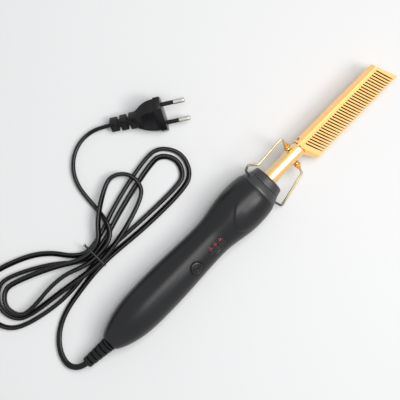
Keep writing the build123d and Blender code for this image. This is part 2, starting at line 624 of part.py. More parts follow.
# Collar: the ring holds the stand's pivots, the bush holds the barrel, the nose closes it
ring_end = RIM_X + RING_L
bush_end = PIVOT_X - WIRE_R - PIVOT_WALL
ring = turned([(RIM_X, RING_R0), (ring_end - SEAM_GAP, RING_R1)])
ring += x_cylinder(R_RIM - WALL - LIP_CLEAR, RIM_X - LIP_L, RIM_X + 0.5)
ring += x_cylinder(NOSE_LIP_R, ring_end - SEAM_GAP - 0.5, ring_end + NOSE_LIP_L)
ring -= x_cylinder(BUSH_R + FIT, RIM_X - 5, bush_end)
ring -= x_cylinder(BARREL_R + FIT, RIM_X - 5, NOSE_X)
ring_at_pivot = RING_R0 + (RING_R1 - RING_R0) * (PIVOT_X - RIM_X) / (RING_L - SEAM_GAP)
pivot_in = ring_at_pivot - PIVOT_DEPTH
for side in (1, -1):
    hole = Cylinder(WIRE_R + PIVOT_CLEAR, 20, align=(Align.CENTER, Align.CENTER, Align.MIN))
    ring -= Pos(PIVOT_X, side * (pivot_in - 0.2), 0) * Rot(-90 * side, 0, 0) * hole
write("collar_ring", TOOL * ring)
nose = turned([(ring_end, NOSE_R0), (NOSE_X, NOSE_R1)])
nose = fillet(nose.edges().filter_by(GeomType.CIRCLE).sort_by(Axis.X)[-1], NOSE_ROUND)
nose -= x_cylinder(BARREL_R + FIT, RIM_X, NOSE_X + 1)
nose -= x_cylinder(NOSE_LIP_R + FIT, RIM_X, ring_end + NOSE_LIP_L + 0.1)
write("nose_cap", TOOL * nose)
bush = x_cylinder(BUSH_R, RIM_X - LIP_L - BUSH_FLANGE_T, bush_end - 0.1)
bush += x_cylinder(BUSH_R + BUSH_FLANGE_W, RIM_X - LIP_L - BUSH_FLANGE_T, RIM_X - LIP_L)
bush -= x_cylinder(BARREL_R + FIT, RIM_X - 10, NOSE_X)
write("insulating_bush", TOOL * bush)

# Barrel, thicker at its front end, where the comb head's spigot goes in
barrel = x_cylinder(BARREL_R, NOSE_X - BARREL_IN, HEAD_X)
barrel = fillet(barrel.edges().filter_by(GeomType.CIRCLE).sort_by(Axis.X)[-1], BARREL_ROUND)
barrel -= x_cylinder(BARREL_R - BARREL_WALL, NOSE_X - BARREL_IN - 1, HEAD_X - SPIGOT_L)
barrel -= x_cylinder(SPIGOT_R + SPIGOT_CLEAR, HEAD_X - SPIGOT_L - 1, HEAD_X + 1)
write("barrel_tube", TOOL * barrel)


def beyond(x_axis, lean_y, lean_z, forward):
    """A big block on one side of a plane that crosses the axis at x_axis and leans both ways."""
    normal = Vector(1, lean_y, lean_z) * (1 if forward else -1)
    return extrude(Plane(origin=(x_axis, 0, 0), z_dir=normal) * Rectangle(300, 300), 150)


# Comb head: a wedge from a thick spine to a thin tooth edge, with its slots sawn through
near, far = HEAD_X - 14.0, HEAD_X + HEAD_L + 14.0
crown_a = HEAD_A + 1.0
crown_h = HEAD_H + (HEAD_H - HEAD_E) / (HEAD_A + HEAD_B)
outline = Polyline((crown_a, crown_h), (-HEAD_B, HEAD_E), (-HEAD_B, -HEAD_E), (crown_a, -crown_h), close=True)
wedge = extrude(Plane(origin=(near, 0, 0), x_dir=(0, 1, 0), z_dir=(1, 0, 0)) * make_face(outline), far - near)
slope = Plane(origin=(HEAD_X, HEAD_A, 0), x_dir=(1, -HEAD_TAPER / HEAD_L, 0), z_dir=(0, 0, 1))
wedge -= extrude(slope * Pos(40, 20, 0) * Rectangle(300, 40), 20, both=True)
spine_edges = [e for e in wedge.edges() if e.center().Y > 0 and abs((e @ 1 - e @ 0).X) > HEAD_L / 2]
wedge = fillet(spine_edges, SPINE_ROUND)
head = wedge & beyond(HEAD_X - NEAR_BACK, NEAR_LEAN_Y, -NEAR_LEAN_Z, True)
head -= block(near - 5, HEAD_X - NEAR_CUT, -BARREL_R - 0.45, 20, -20, 20)
head &= beyond(HEAD_X + HEAD_L + END_LEAN * HEAD_A, END_LEAN, 0.0, False)
head -= x_cylinder(BARREL_R + SEAT, near - 5, HEAD_X)
head += x_cylinder(SPIGOT_R, HEAD_X - SPIGOT_L + 0.5, HEAD_X + SPIGOT_ROOT)
slots = []
for i in range(SLOTS):
    at = Pos(HEAD_X + SLOT_X0 + i * SLOT_PITCH, 0, 0) * Rot(0, 0, math.degrees(math.atan(SLOT_LEAN)))
    at = at * Rot(0, math.degrees(math.atan(SLOT_SLANT)), 0)
    slots.append(at * Pos(0, SLOT_ROOT, 0) * Box(SLOT_W, 40, 20, align=(Align.CENTER, Align.MAX, Align.CENTER)))
head -= slots
head -= x_cylinder(SPIGOT_R - SPIGOT_WALL, HEAD_X - SPIGOT_L, HEAD_X + HEATER_BACK)
head -= x_cylinder(CHAMBER_R, HEAD_X - 0.8, HEAD_X + HEATER_BACK, CHAMBER_Y, CHAMBER_Z)
heater_end = HEAD_X + HEATER_BACK + HEATER_L
head -= x_cylinder(HEATER_R + FIT, HEAD_X + 1.0, heater_end + 0.3, HEATER_Y, HEATER_Z)
screw_at = Pos(HEAD_X + HEAD_SCREW_X, HEAD_A - HEAD_SCREW_SUNK, HEAD_SCREW_Z) * Rot(90, 0, 0)
along = (Align.CENTER, Align.CENTER, Align.MIN)
head -= screw_at * Pos(0, 0, -4) * Cylinder(HEAD_SCREW_R + FIT, HEAD_SCREW_L + 4.1, align=along)
write("comb_head", TOOL * head)
grub = Cylinder(HEAD_SCREW_R, HEAD_SCREW_L, align=along) - Box(2.2, 0.5, 1.4)
write("head_screw", TOOL * screw_at * grub)
print("comb head solids", len(head.solids()))

# Heating rod in the spine, its leads back through the barrel to the board, and the sensor
write("heater_element", TOOL * x_cylinder(HEATER_R, HEAD_X + HEATER_BACK, heater_end, HEATER_Y, HEATER_Z))
leads = []
for side in (1, -1):
    rod_y, rod_z = HEATER_Y - 0.65, HEATER_Z - 0.25 - 0.5 * side
    a = [(HEAD_X + HEATER_BACK - FIT, rod_y, rod_z), (HEAD_X + HEATER_BACK - 0.8, rod_y, rod_z),
         (HEAD_X - 2.0, 0.9, 0.35 - 0.65 * side), (BULGE_X + 8.0, side * 1.6, 0.4 - 0.8 * side),
         (BOARD_X1 + 2.0, side * 4.0, board_low - 2.6),
         (BOARD_X1 - 7.0, side * 4.0, board_low - HEAT_LEAD_R - FIT)]
    leads.append(TOOL * wire_along(a, HEAT_LEAD_R, 3.0))
write("heater_leads", Compound(children=leads))
write("temperature_sensor", TOOL * x_cylinder(SENSOR_R, HEAD_X - 6, HEAD_X - 6 + SENSOR_L, -1.0, -0.6))

# Wire stand: a bail with a slanting foot that dips under the barrel, and a bead on each side
dip = BARREL_R + DIP_GAP + WIRE_R
corner_left = (NOSE_X + FOOT_LEFT[0], FOOT_LEFT[1])
corner_right = (NOSE_X + FOOT_RIGHT[0], -FOOT_RIGHT[1])
slant = (corner_left[0] - corner_right[0]) / (corner_left[1] - corner_right[1])


def foot_x(y):
    """X of the stand's foot, which runs askew between its two front corners."""
    return corner_right[0] + slant * (y - corner_right[1])


wire_points = [(PIVOT_X, pivot_in, 0), (PIVOT_X, EAR_LEFT - 2.0, 0), (PIVOT_X + 4.3, EAR_LEFT, 0),
               (NOSE_X + 1.3, LEG_BEND, 0), (*corner_left, 0),
               (foot_x(DIP_HALF), DIP_HALF, 0), (foot_x(DIP_HALF), DIP_HALF, -dip),
               (foot_x(-DIP_HALF), -DIP_HALF, -dip), (foot_x(-DIP_HALF), -DIP_HALF, 0),
               (*corner_right, 0), (PIVOT_X + 1.7, -EAR_RIGHT, 0),
               (PIVOT_X, -EAR_RIGHT + 6.4, 0), (PIVOT_X, -pivot_in, 0)]
bends = [EAR_BEND, EAR_BEND, KNEE_BEND, CORNER_BEND] + 4 * [DIP_BEND] + [CORNER_BEND, EAR_BEND, KNEE_BEND]
write("wire_stand", TOOL * wire_along(wire_points, WIRE_R, bends))
wire_room = wire_along(wire_points, WIRE_R + FIT, bends)
turn = math.degrees(math.atan(slant))
bead_from = BARREL_R + BEAD_R * math.sin(abs(math.radians(turn))) + BEAD_GAP
profile = [(0, BEAD_R), (0.4 * BEAD_L, BEAD_R), (0.46 * BEAD_L, BEAD_NECK_R), (0.56 * BEAD_L, BEAD_NECK_R),
           (0.62 * BEAD_L, BEAD_R), (0.88 * BEAD_L, BEAD_R), (BEAD_L, BEAD_NECK_R)]
for side, name in ((1, "stand_bead_left"), (-1, "stand_bead_right")):
    y = side * bead_from
    bead = Pos(foot_x(y), y, 0) * Rot(0, 0, 90 * side - turn) * turned(profile)
    write(name, TOOL * (bead - wire_room))

write("handle_top_shell", TOOL * top)
write("handle_bottom_shell", TOOL * bottom)
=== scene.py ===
# %% [markdown]
# An electric hot comb lies on a pale table, with its mains cord tied in a hank beside it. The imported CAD
# model is loaded first, as a fixed frame. Everything here is in metres and in the same frame as that model:
# +X runs from the cord end of the handle to the comb's tip, and the table is at Z = 0. The object's own
# sizes are easier to read in millimetres, so they are written that way and multiplied by MM.

# %% Load the frame
import bpy
import bmesh
import json
import math
from mathutils import Matrix, Vector


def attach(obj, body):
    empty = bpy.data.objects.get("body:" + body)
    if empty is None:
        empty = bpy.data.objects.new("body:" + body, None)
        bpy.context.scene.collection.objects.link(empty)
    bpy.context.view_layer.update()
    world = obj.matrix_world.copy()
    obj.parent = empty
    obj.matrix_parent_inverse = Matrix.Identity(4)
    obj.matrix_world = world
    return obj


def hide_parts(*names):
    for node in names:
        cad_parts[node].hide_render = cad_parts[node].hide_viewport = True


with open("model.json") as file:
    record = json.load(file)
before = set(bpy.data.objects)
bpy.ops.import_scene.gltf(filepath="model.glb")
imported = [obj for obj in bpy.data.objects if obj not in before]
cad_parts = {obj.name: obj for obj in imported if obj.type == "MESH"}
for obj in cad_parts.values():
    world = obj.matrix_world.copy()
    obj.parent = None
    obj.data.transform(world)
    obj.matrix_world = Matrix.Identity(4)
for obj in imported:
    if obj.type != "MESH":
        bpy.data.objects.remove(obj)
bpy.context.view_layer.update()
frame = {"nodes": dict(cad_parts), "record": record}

MM = 0.001
bpy.ops.object.select_all(action="DESELECT")
nodes = frame["nodes"]
print("CAD nodes", len(nodes))

# %% [markdown]
# The photograph was taken from above, with the tool running from the lower left to the upper right. A camera
# could be turned by three angles, but it is easier to say where it stands, what it looks at and which way is
# up in the picture, and to work out its axes from these. It stands about 1.1 m over the table.

# %% Camera
LENS = 126.9
TARGET = Vector((-0.02524, 0.0286, 0.0192))
EYE = Vector((-0.09114, 0.0286, 1.117))
UP = Vector((0.7151, 0.6977, 0.0430))
camera_back = (EYE - TARGET).normalized()
camera_right = UP.cross(camera_back).normalized()
camera_axes = Matrix((camera_right, camera_back.cross(camera_right), camera_back)).transposed().to_4x4()
camera_data = bpy.data.cameras.new("camera")
camera_data.sensor_width = 36.0
camera_data.lens = LENS
camera = bpy.data.objects.new("camera", camera_data)
camera.matrix_world = Matrix.Translation(EYE) @ camera_axes
bpy.context.scene.collection.objects.link(camera)
bpy.context.scene.camera = camera
print("camera at", [round(c, 4) for c in EYE])

# %% [markdown]
# The tool is a turned shape on one axis: a thin tail at the cord, a belly where the palm lies, a neck for the
# fingers and a bulge before the hot end. One formula gives its radius anywhere, so the pieces that lie on the
# handle can ask for its height there. The tool rests on its belly and its bulge, which sets its pitch, and it
# has rolled by 30 degrees. The matrix TOOL takes a piece from the tool's own axis to its place on the table.

# %% The handle's radius
TAIL_X, HANDLE_L = -152.35, 164.6                           # its cord end and its length
R_TAIL, R_BELLY, R_NECK, R_BULGE, R_RIM = 7.2, 17.2, 15.3, 19.5, 17.9
AT_REST, AT_BELLY, AT_NECK, AT_BULGE = 0.26, 0.335, 0.68, 0.89     # shares of the length
TAIL_POWER = 3.3


def smooth(t):
    """An S-shaped step from 0 to 1, level before and after."""
    t = max(0.0, min(1.0, t))
    return t * t * (3 - 2 * t)


def handle_radius(share):
    """The handle's outer radius at a share of its length from the cord end."""
    if share < AT_BELLY:
        return R_BELLY - (R_BELLY - R_TAIL) * (1 - share / AT_BELLY) ** TAIL_POWER
    if share < AT_NECK:
        return R_BELLY + (R_NECK - R_BELLY) * smooth((share - AT_BELLY) / (AT_NECK - AT_BELLY))
    if share < AT_BULGE:
        return R_NECK + (R_BULGE - R_NECK) * smooth((share - AT_NECK) / (AT_BULGE - AT_NECK))
    return R_BULGE - (R_BULGE - R_RIM) * ((share - AT_BULGE) / (1 - AT_BULGE)) ** 3


print("radius of the handle's middle", round(handle_radius(0.5), 2))

# %% The tool's place
CENTRE_X = 1.64                # the middle of the tool's length, which is over the frame's origin
TOOL_Y, REST_LIFT, ROLL = 1.46, 0.095, 30.0
RIM_X = TAIL_X + HANDLE_L
BULGE_X = TAIL_X + AT_BULGE * HANDLE_L
pitch = math.asin((R_BULGE - handle_radius(AT_REST)) / ((AT_BULGE - AT_REST) * HANDLE_L))
bulge_place = Vector((BULGE_X - CENTRE_X, TOOL_Y, R_BULGE + REST_LIFT)) * MM
TOOL = (Matrix.Translation(bulge_place) @ Matrix.Rotation(-pitch, 4, "Y")
        @ Matrix.Rotation(math.radians(ROLL), 4, "X") @ Matrix.Translation((-BULGE_X * MM, 0, 0)))
print("pitch of the tool", round(math.degrees(pitch), 2))

# %% [markdown]
# The plug lies on the table beyond the hank, on one edge of its flange, with its pins towards the comb. It
# has its own axis, which starts where the cord goes in, and the matrix PLUG does for it what TOOL does.

# %% The plug's place
PLUG_AT = Vector((-29.7 - CENTRE_X, 120.2, 6.2)) * MM
PLUG = (Matrix.Translation(PLUG_AT) @ Matrix.Rotation(math.radians(-34.2), 4, "Z")
        @ Matrix.Rotation(math.radians(-10.0), 4, "Y") @ Matrix.Rotation(math.radians(43.5), 4, "X"))
print("plug at", [round(c, 4) for c in PLUG_AT])

# %% [markdown]
# The cord is the soft part of the object, so its route comes before any other piece. It is a limp flat cord
# of two cores side by side. It leaves the gland, runs into a hank of six loops that a tie holds at the waist,
# and ends in the plug. A simulated cord would fall another way than the photograph's does. So the loops are
# placed one by one: each is a few points round an oval, with its own reach, width and lean, so that they fan
# out as loose turns do. These are the points that the CAD model's cord has, too.

# %% The cord's sizes and the tie's place
CORD_W, CORD_T = 4.7, 3.2      # the flat cord across its wide and its thin side
CORD_Z = 2.3                   # its middle over the table
LANE, LAYER = 5.0, 4.9         # from one strand to the next in the tie, beside it and on it
WAIST_UP = 1.1                 # how far the tie lifts the strands
TIE = Vector((-111.6, 56.0, 0.0))
GLAND_L = 22.5


def gland_axis():
    """Direction of the gland, away from the handle."""
    drop, swing = math.radians(17.0), math.radians(4.0)
    return Vector((-math.cos(drop) * math.cos(swing), math.cos(drop) * math.sin(swing), -math.sin(drop)))


print("cord", CORD_W, "by", CORD_T, "mm")


# %% One loop of the hank, and its waist
def hank_loop(out_lane, back_lane, side, reach, width, lean, draw, z):
    """The points of a loop: out from the tie, half a ring round its end, and back."""
    lean, half = math.radians(lean), width / 2
    ring = reach - half
    turn = -1 if out_lane < back_lane else 1
    points = [(0.5 * ring, turn * draw[0] * half, z[0]), (ring, turn * 1.07 * half, z[1])]
    for degrees in (50, 0, -50):
        a = math.radians(degrees)
        points.append((ring + 1.09 * half * math.cos(a), turn * 1.09 * half * math.sin(a), z[1]))
    points += [(ring, -turn * 1.07 * half, z[1]), (0.5 * ring, -turn * draw[1] * half, z[2])]
    return [(TIE.x + side * (u * math.cos(lean) - v * math.sin(lean)),
             TIE.y + u * math.sin(lean) + v * math.cos(lean), height) for u, v, height in points]


def waist(lane, layer, direction):
    """Two points where a strand runs straight through the tie."""
    y, z = TIE.y + lane * LANE, CORD_Z + WAIST_UP + layer * LAYER
    return [(TIE.x - direction * 9.0, y, z), (TIE.x + direction * 9.0, y, z)]


FLAT = (CORD_Z, CORD_Z, CORD_Z)
LOOPS = (
    dict(out_lane=-1.5, back_lane=1.5, side=1, reach=104.5, width=37.0, lean=5.0, draw=(0.82, 0.82), z=FLAT),
    dict(out_lane=1.5, back_lane=-0.5, side=-1, reach=97.0, width=47.0, lean=20.0, draw=(0.96, 0.84), z=FLAT),
    dict(out_lane=-0.5, back_lane=0.5, side=1, reach=98.6, width=26.4, lean=4.8, draw=(0.68, 0.7), z=FLAT),
    dict(out_lane=0.5, back_lane=-1.0, side=-1, reach=85.0, width=33.0, lean=18.5, draw=(0.7, 0.7),
         z=(CORD_Z, CORD_Z, CORD_Z + 1.15 * LAYER)),
    dict(out_lane=-1.0, back_lane=1.0, side=1, reach=69.0, width=28.5, lean=22.0, draw=(0.9, 0.74),
         z=(CORD_Z + 1.2 * LAYER, CORD_Z + LAYER, CORD_Z + 1.5 * LAYER)),
    dict(out_lane=1.0, back_lane=0.0, side=-1, reach=80.0, width=25.0, lean=17.0, draw=(0.74, 0.0),
         z=(CORD_Z + 1.1 * LAYER, CORD_Z + LAYER, CORD_Z + 1.1 * LAYER)),
)
LAYERS = (0, 0, 0, 0, 1, 1, 1)                              # of each strand in the tie
print("loops in the hank", len(LOOPS))

# %% The whole route
centre = Vector((CENTRE_X, 0, 0))
tail_at = TOOL @ Vector((TAIL_X * MM, 0, 0))
gland_tip = tail_at / MM + gland_axis() * GLAND_L + centre
over = CORD_Z + LAYER
route = [tuple(gland_tip), tuple(gland_tip + gland_axis() * 8.0), (-188.0, 10.5, 3.4),
         (-186.6, 20.5, CORD_Z), (-180.5, 30.0, CORD_Z), (-170.8, 37.9, CORD_Z), (-158.0, 43.4, CORD_Z),
         (-139.5, 46.4, CORD_Z)]
direction = 1
for loop, layer in zip(LOOPS, LAYERS):
    route += waist(loop["out_lane"], layer, direction) + hank_loop(**loop)
    direction = -direction
route += waist(LOOPS[-1]["back_lane"], LAYERS[-1], direction)
route += [(-93.2, 58.9, over + 1.1), (-88.3, 65.0, over + 1.2), (-86.2, 71.6, over + 0.6),
          (-84.8, 79.6, CORD_Z), (-83.9, 92.0, CORD_Z), (-82.2, 104.5, CORD_Z), (-77.0, 115.6, CORD_Z),
          (-68.3, 123.9, CORD_Z), (-57.5, 128.4, CORD_Z), (-46.8, 128.6, CORD_Z),
          tuple(PLUG @ Vector((-8.5 * MM, 0, 0)) / MM + centre), tuple(PLUG_AT / MM + centre)]
route = [(x - CENTRE_X, y, z) for x, y, z in route]
print("points of the route", len(route))

# %% [markdown]
# The route's points are the control points of a NURBS spline, which runs smoothly between them as a real cord
# does. Blender can bevel such a curve to a tube, but this cord is flat and rolls over as it goes. So the
# spline is read back as a chain of points, and a flat outline is swept along that chain.

# %% The cord's centreline
curve = bpy.data.curves.new("cord_line", "CURVE")
curve.dimensions = "3D"
spline = curve.splines.new("NURBS")
spline.points.add(len(route) - 1)
for point, (x, y, z) in zip(spline.points, route):
    point.co = (x * MM, y * MM, z * MM, 1.0)
spline.order_u = 3
spline.use_endpoint_u = True
spline.resolution_u = 12
line_object = bpy.data.objects.new("cord_line", curve)
bpy.context.scene.collection.objects.link(line_object)
bpy.context.view_layer.update()
line_mesh = bpy.data.meshes.new_from_object(line_object)
line = [v.co.copy() for v in line_mesh.vertices]
bpy.data.objects.remove(line_object)

# %% The cord's flat outline: two round edges and a shallow groove between them
GROOVE, GROOVE_W = 0.22, 0.55
OUTLINE_POINTS = 24
outline = []
for k in range(OUTLINE_POINTS):
    a = 2 * math.pi * k / OUTLINE_POINTS
    edge_side = 0 if abs(math.cos(a)) < 1e-6 else math.copysign(1, math.cos(a))
    across = (CORD_W / 2 - CORD_T / 2) * edge_side + CORD_T / 2 * math.cos(a)
    dent = GROOVE * math.exp(-((across / GROOVE_W) ** 2))
    outline.append((across * MM, (CORD_T / 2 * math.sin(a) - math.copysign(dent, math.sin(a))) * MM))
print("points of the outline", len(outline))


# %% Helper that sweeps an outline
def sweep_outline(name, line, outline, side=None, roll=None):
    """A closed tube with this outline along points, its wide side level, along side or at a roll."""
    mesh = bpy.data.meshes.new(name)
    work = bmesh.new()
    rings = []
    for i, at in enumerate(line):
        along = (line[min(i + 1, len(line) - 1)] - line[max(i - 1, 0)]).normalized()
        across = side if side else along.cross(Vector((0, 0, 1))).normalized()
        rise = across.cross(along).normalized()
        turn = roll(i / (len(line) - 1)) if roll else 0.0
        across, rise = (across * math.cos(turn) + rise * math.sin(turn),
                        rise * math.cos(turn) - across * math.sin(turn))
        rings.append([work.verts.new(at + across * u + rise * v) for u, v in outline])
    for a, b in zip(rings, rings[1:]):
        for k in range(len(outline)):
            n = (k + 1) % len(outline)
            work.faces.new((a[k], a[n], b[n], b[k]))
    work.faces.new(rings[0][::-1])
    work.faces.new(rings[-1])
    bmesh.ops.recalc_face_normals(work, faces=work.faces)
    work.to_mesh(mesh)
    work.free()
    piece = bpy.data.objects.new(name, mesh)
    bpy.context.scene.collection.objects.link(piece)
    mesh.polygons.foreach_set("use_smooth", [True] * len(mesh.polygons))
    print(name, len(mesh.polygons), "faces")
    return piece


# %% The cord
def cord_roll(share):
    """The cord lies flat at the handle, rolls to and fro in the hank and stands on edge at the plug."""
    to_plug = smooth((share - 0.86) / 0.08)
    loose = smooth(share / 0.1) * (1 - to_plug)
    return math.radians(80 * to_plug + loose * (62 + 20 * math.sin(41 * share)))


cord = sweep_outline("mains_cord", line, outline, roll=cord_roll)

# %% [markdown]
# The table is one large plain sheet, a hair under Z = 0, so that it doesn't flicker through what rests on it.
# Its paleness is in its own colour. Strong lamps would make it as pale, but would bleach the gold as well.

# %% Table
bpy.ops.mesh.primitive_plane_add(size=8.0, location=(0, 0, -0.0003))
table = bpy.context.object
table.name = "table"
print("table", table.dimensions.x, "m")

# %% [markdown]
# The photograph's light is a studio's: a large soft box over the comb end, which draws the long soft
# highlights along the handle, and a second one at the right of the picture, which brightens what faces it.
# Point lamps would be simpler, but only a light with a size of its own gives such soft shadows.


# %% Two soft boxes
def area_light(name, place, size, deep, power, colour):
    """A soft box, size along the tool and deep across it, that points at the middle of the object."""
    data = bpy.data.lights.new(name, "AREA")
    data.shape = "RECTANGLE"
    data.size, data.size_y = size, deep
    data.energy = power
    data.color = colour
    light = bpy.data.objects.new(name, data)
    light.location = place
    light.rotation_euler = (Vector((-0.02, 0.03, 0.0)) - Vector(place)).to_track_quat("-Z", "Y").to_euler()
    bpy.context.scene.collection.objects.link(light)
    print(name, "at", place)


area_light("ceiling_light", (0.26, -0.02, 1.25), 0.55, 1.10, 10.0, (1.0, 1.0, 1.0))
area_light("window_light", (0.36, -0.62, 1.25), 0.40, 0.60, 8.0, (1.0, 0.99, 0.98))

# %% [markdown]
# The world stands for the room's pale walls. It has two levels. What the camera sees directly, in a
# reflection or through glass is the bright one, near white. What the world adds as light on the object is the
# dim one, so that the soft boxes still shape it. A Light Path node picks the level by the kind of ray.

# %% World
WALL_COLOUR = (0.97, 0.98, 1.0, 1)
LIT_BY, SEEN_AS = 0.27, 0.95
world = bpy.data.worlds.new("room")
bpy.context.scene.world = world
world.use_nodes = True
tree = world.node_tree
tree.nodes.clear()
levels = []
for strength in (LIT_BY, SEEN_AS):
    level = tree.nodes.new("ShaderNodeBackground")
    level.inputs["Color"].default_value = WALL_COLOUR
    level.inputs["Strength"].default_value = strength
    levels.append(level)
ray = tree.nodes.new("ShaderNodeLightPath")
camera_or_glossy = tree.nodes.new("ShaderNodeMath")
seen = tree.nodes.new("ShaderNodeMath")
camera_or_glossy.operation = seen.operation = "MAXIMUM"
tree.links.new(ray.outputs["Is Camera Ray"], camera_or_glossy.inputs[0])
tree.links.new(ray.outputs["Is Glossy Ray"], camera_or_glossy.inputs[1])
tree.links.new(camera_or_glossy.outputs[0], seen.inputs[0])
tree.links.new(ray.outputs["Is Transmission Ray"], seen.inputs[1])
either_level = tree.nodes.new("ShaderNodeMixShader")
tree.links.new(seen.outputs[0], either_level.inputs[0])
tree.links.new(levels[0].outputs[0], either_level.inputs[1])
tree.links.new(levels[1].outputs[0], either_level.inputs[2])
tree.links.new(either_level.outputs[0], tree.nodes.new("ShaderNodeOutputWorld").inputs["Surface"])
bpy.context.scene.view_settings.view_transform = "Standard"
print("world levels", LIT_BY, SEEN_AS)

# %% [markdown]
# A real surface is never one flat colour. Each finish here is one Principled shader with three layers of
# change: a slow noise moves the colour between two tones, a finer one moves the roughness between two values,
# and the same fine noise is the grain, as a small bump. A picture could carry all this, but noise stays sharp
# at any distance. The noises read Object coordinates, so the pattern stays on the piece when it moves.


# %% Helper for a finish
def finish(name, tone_a, tone_b, rough_a, rough_b, patch=60.0, grain=1500.0, bump=0.15, **fixed):
    """A finish between two tones and two roughnesses. patch and grain are the noises' scales."""
    made = bpy.data.materials.new(name)
    made.use_nodes = True
    tree = made.node_tree
    shader = tree.nodes["Principled BSDF"]
    place = tree.nodes.new("ShaderNodeTexCoord")
    slow = tree.nodes.new("ShaderNodeTexNoise")
    slow.inputs["Scale"].default_value = patch
    slow.inputs["Detail"].default_value = 3.0
    fine = tree.nodes.new("ShaderNodeTexNoise")
    fine.inputs["Scale"].default_value = grain
    fine.inputs["Detail"].default_value = 2.0
    tones = tree.nodes.new("ShaderNodeValToRGB")
    tones.color_ramp.elements[0].position = 0.35
    tones.color_ramp.elements[1].position = 0.65
    tones.color_ramp.elements[0].color = (*tone_a, 1)
    tones.color_ramp.elements[1].color = (*tone_b, 1)
    rough = tree.nodes.new("ShaderNodeMapRange")
    rough.inputs["From Min"].default_value = 0.3
    rough.inputs["From Max"].default_value = 0.7
    rough.inputs["To Min"].default_value = rough_a
    rough.inputs["To Max"].default_value = rough_b
    bumps = tree.nodes.new("ShaderNodeBump")
    bumps.inputs["Strength"].default_value = bump
    bumps.inputs["Distance"].default_value = 0.03 * MM
    for noise in (slow, fine):
        tree.links.new(place.outputs["Object"], noise.inputs["Vector"])
    tree.links.new(slow.outputs["Fac"], tones.inputs["Fac"])
    tree.links.new(tones.outputs["Color"], shader.inputs["Base Color"])
    tree.links.new(fine.outputs["Fac"], rough.inputs["Value"])
    tree.links.new(rough.outputs["Result"], shader.inputs["Roughness"])
    tree.links.new(fine.outputs["Fac"], bumps.inputs["Height"])
    tree.links.new(bumps.outputs["Normal"], shader.inputs["Normal"])
    for socket, value in fixed.items():
        shader.inputs[socket.replace("_", " ")].default_value = value
    return made


def tint(made, tone, share):
    """Mix a tone into a finish's colour. share is the output that is 0 where the tone is full."""
    tree = made.node_tree
    shader = tree.nodes["Principled BSDF"]
    mixed = tree.nodes.new("ShaderNodeMixRGB")
    mixed.inputs["Color1"].default_value = (*tone, 1)
    tree.links.new(shader.inputs["Base Color"].links[0].from_socket, mixed.inputs["Color2"])
    tree.links.new(share, mixed.inputs["Fac"])
    tree.links.new(mixed.outputs["Color"], shader.inputs["Base Color"])


def stretch(tree, value, low, high):
    """An output that rises from 0 to 1 while value goes from low to high."""
    ramp = tree.nodes.new("ShaderNodeMapRange")
    ramp.inputs["From Min"].default_value = low
    ramp.inputs["From Max"].default_value = high
    tree.links.new(value, ramp.inputs["Value"])
    return ramp.outputs["Result"]


print("helpers for finishes are ready")

# %% [markdown]
# The black plastics differ in their shine. The handle has a soft-touch coat with a broad dull highlight, the
# collar is a little paler and rougher, and the cord's PVC is the shiniest. Black shows every reflection of
# the bright room, so a lower specular level keeps each of them as dark as it is in the photograph.

# %% Black plastics
soft_black = finish("soft_touch_black", (0.008, 0.0083, 0.0092), (0.011, 0.0114, 0.0125), 0.28, 0.33,
                    patch=25, grain=2600, bump=0.12, Specular_IOR_Level=0.30)
button_black = finish("button_black", (0.006, 0.0063, 0.007), (0.009, 0.0093, 0.010), 0.2, 0.28,
                      patch=90, grain=2600, bump=0.12, Specular_IOR_Level=0.32)
collar_black = finish("collar_black", (0.014, 0.0145, 0.015), (0.020, 0.0205, 0.021), 0.34, 0.42,
                      patch=60, grain=1800, bump=0.3, Specular_IOR_Level=0.65)
gloss_black = finish("gloss_black", (0.004, 0.004, 0.005), (0.007, 0.007, 0.008), 0.25, 0.35,
                     bump=0.05, Specular_IOR_Level=0.2)
cord_black = finish("cord_pvc", (0.004, 0.004, 0.0045), (0.006, 0.006, 0.0065), 0.13, 0.2,
                    patch=40, grain=1200, bump=0.08, Specular_IOR_Level=0.22)
tie_black = finish("tie_paper", (0.006, 0.006, 0.007), (0.012, 0.012, 0.013), 0.3, 0.45,
                   patch=300, grain=2500, bump=0.3, Specular_IOR_Level=0.4)
plug_black = finish("plug_pvc", (0.005, 0.005, 0.006), (0.008, 0.008, 0.009), 0.24, 0.34,
                    patch=70, grain=1500, bump=0.2, Specular_IOR_Level=0.24)
print("the darkest is", cord_black.name)

# %% [markdown]
# The comb head is satin gold. Its slots are narrow and deep, so little light comes back out of them and they
# look dark brown in the photograph. The soft light of this scene would leave them too pale. An Ambient
# Occlusion node finds the walls that lie deep in a slot and mixes a dark brown into their colour. It goes by
# the shape alone, so it is the same from every side.

# %% Satin gold, darker deep in the comb's slots
gold = finish("satin_gold", (0.93, 0.625, 0.268), (0.96, 0.655, 0.29), 0.70, 0.80,
              patch=35, grain=3000, bump=0.12, Metallic=1.0)
tree = gold.node_tree
openness = tree.nodes.new("ShaderNodeAmbientOcclusion")
openness.samples = 8
openness.inputs["Distance"].default_value = 2.2 * MM
tint(gold, (0.14, 0.05, 0.008), stretch(tree, openness.outputs["AO"], 0.35, 0.72))
print("slots darkened in", gold.name)
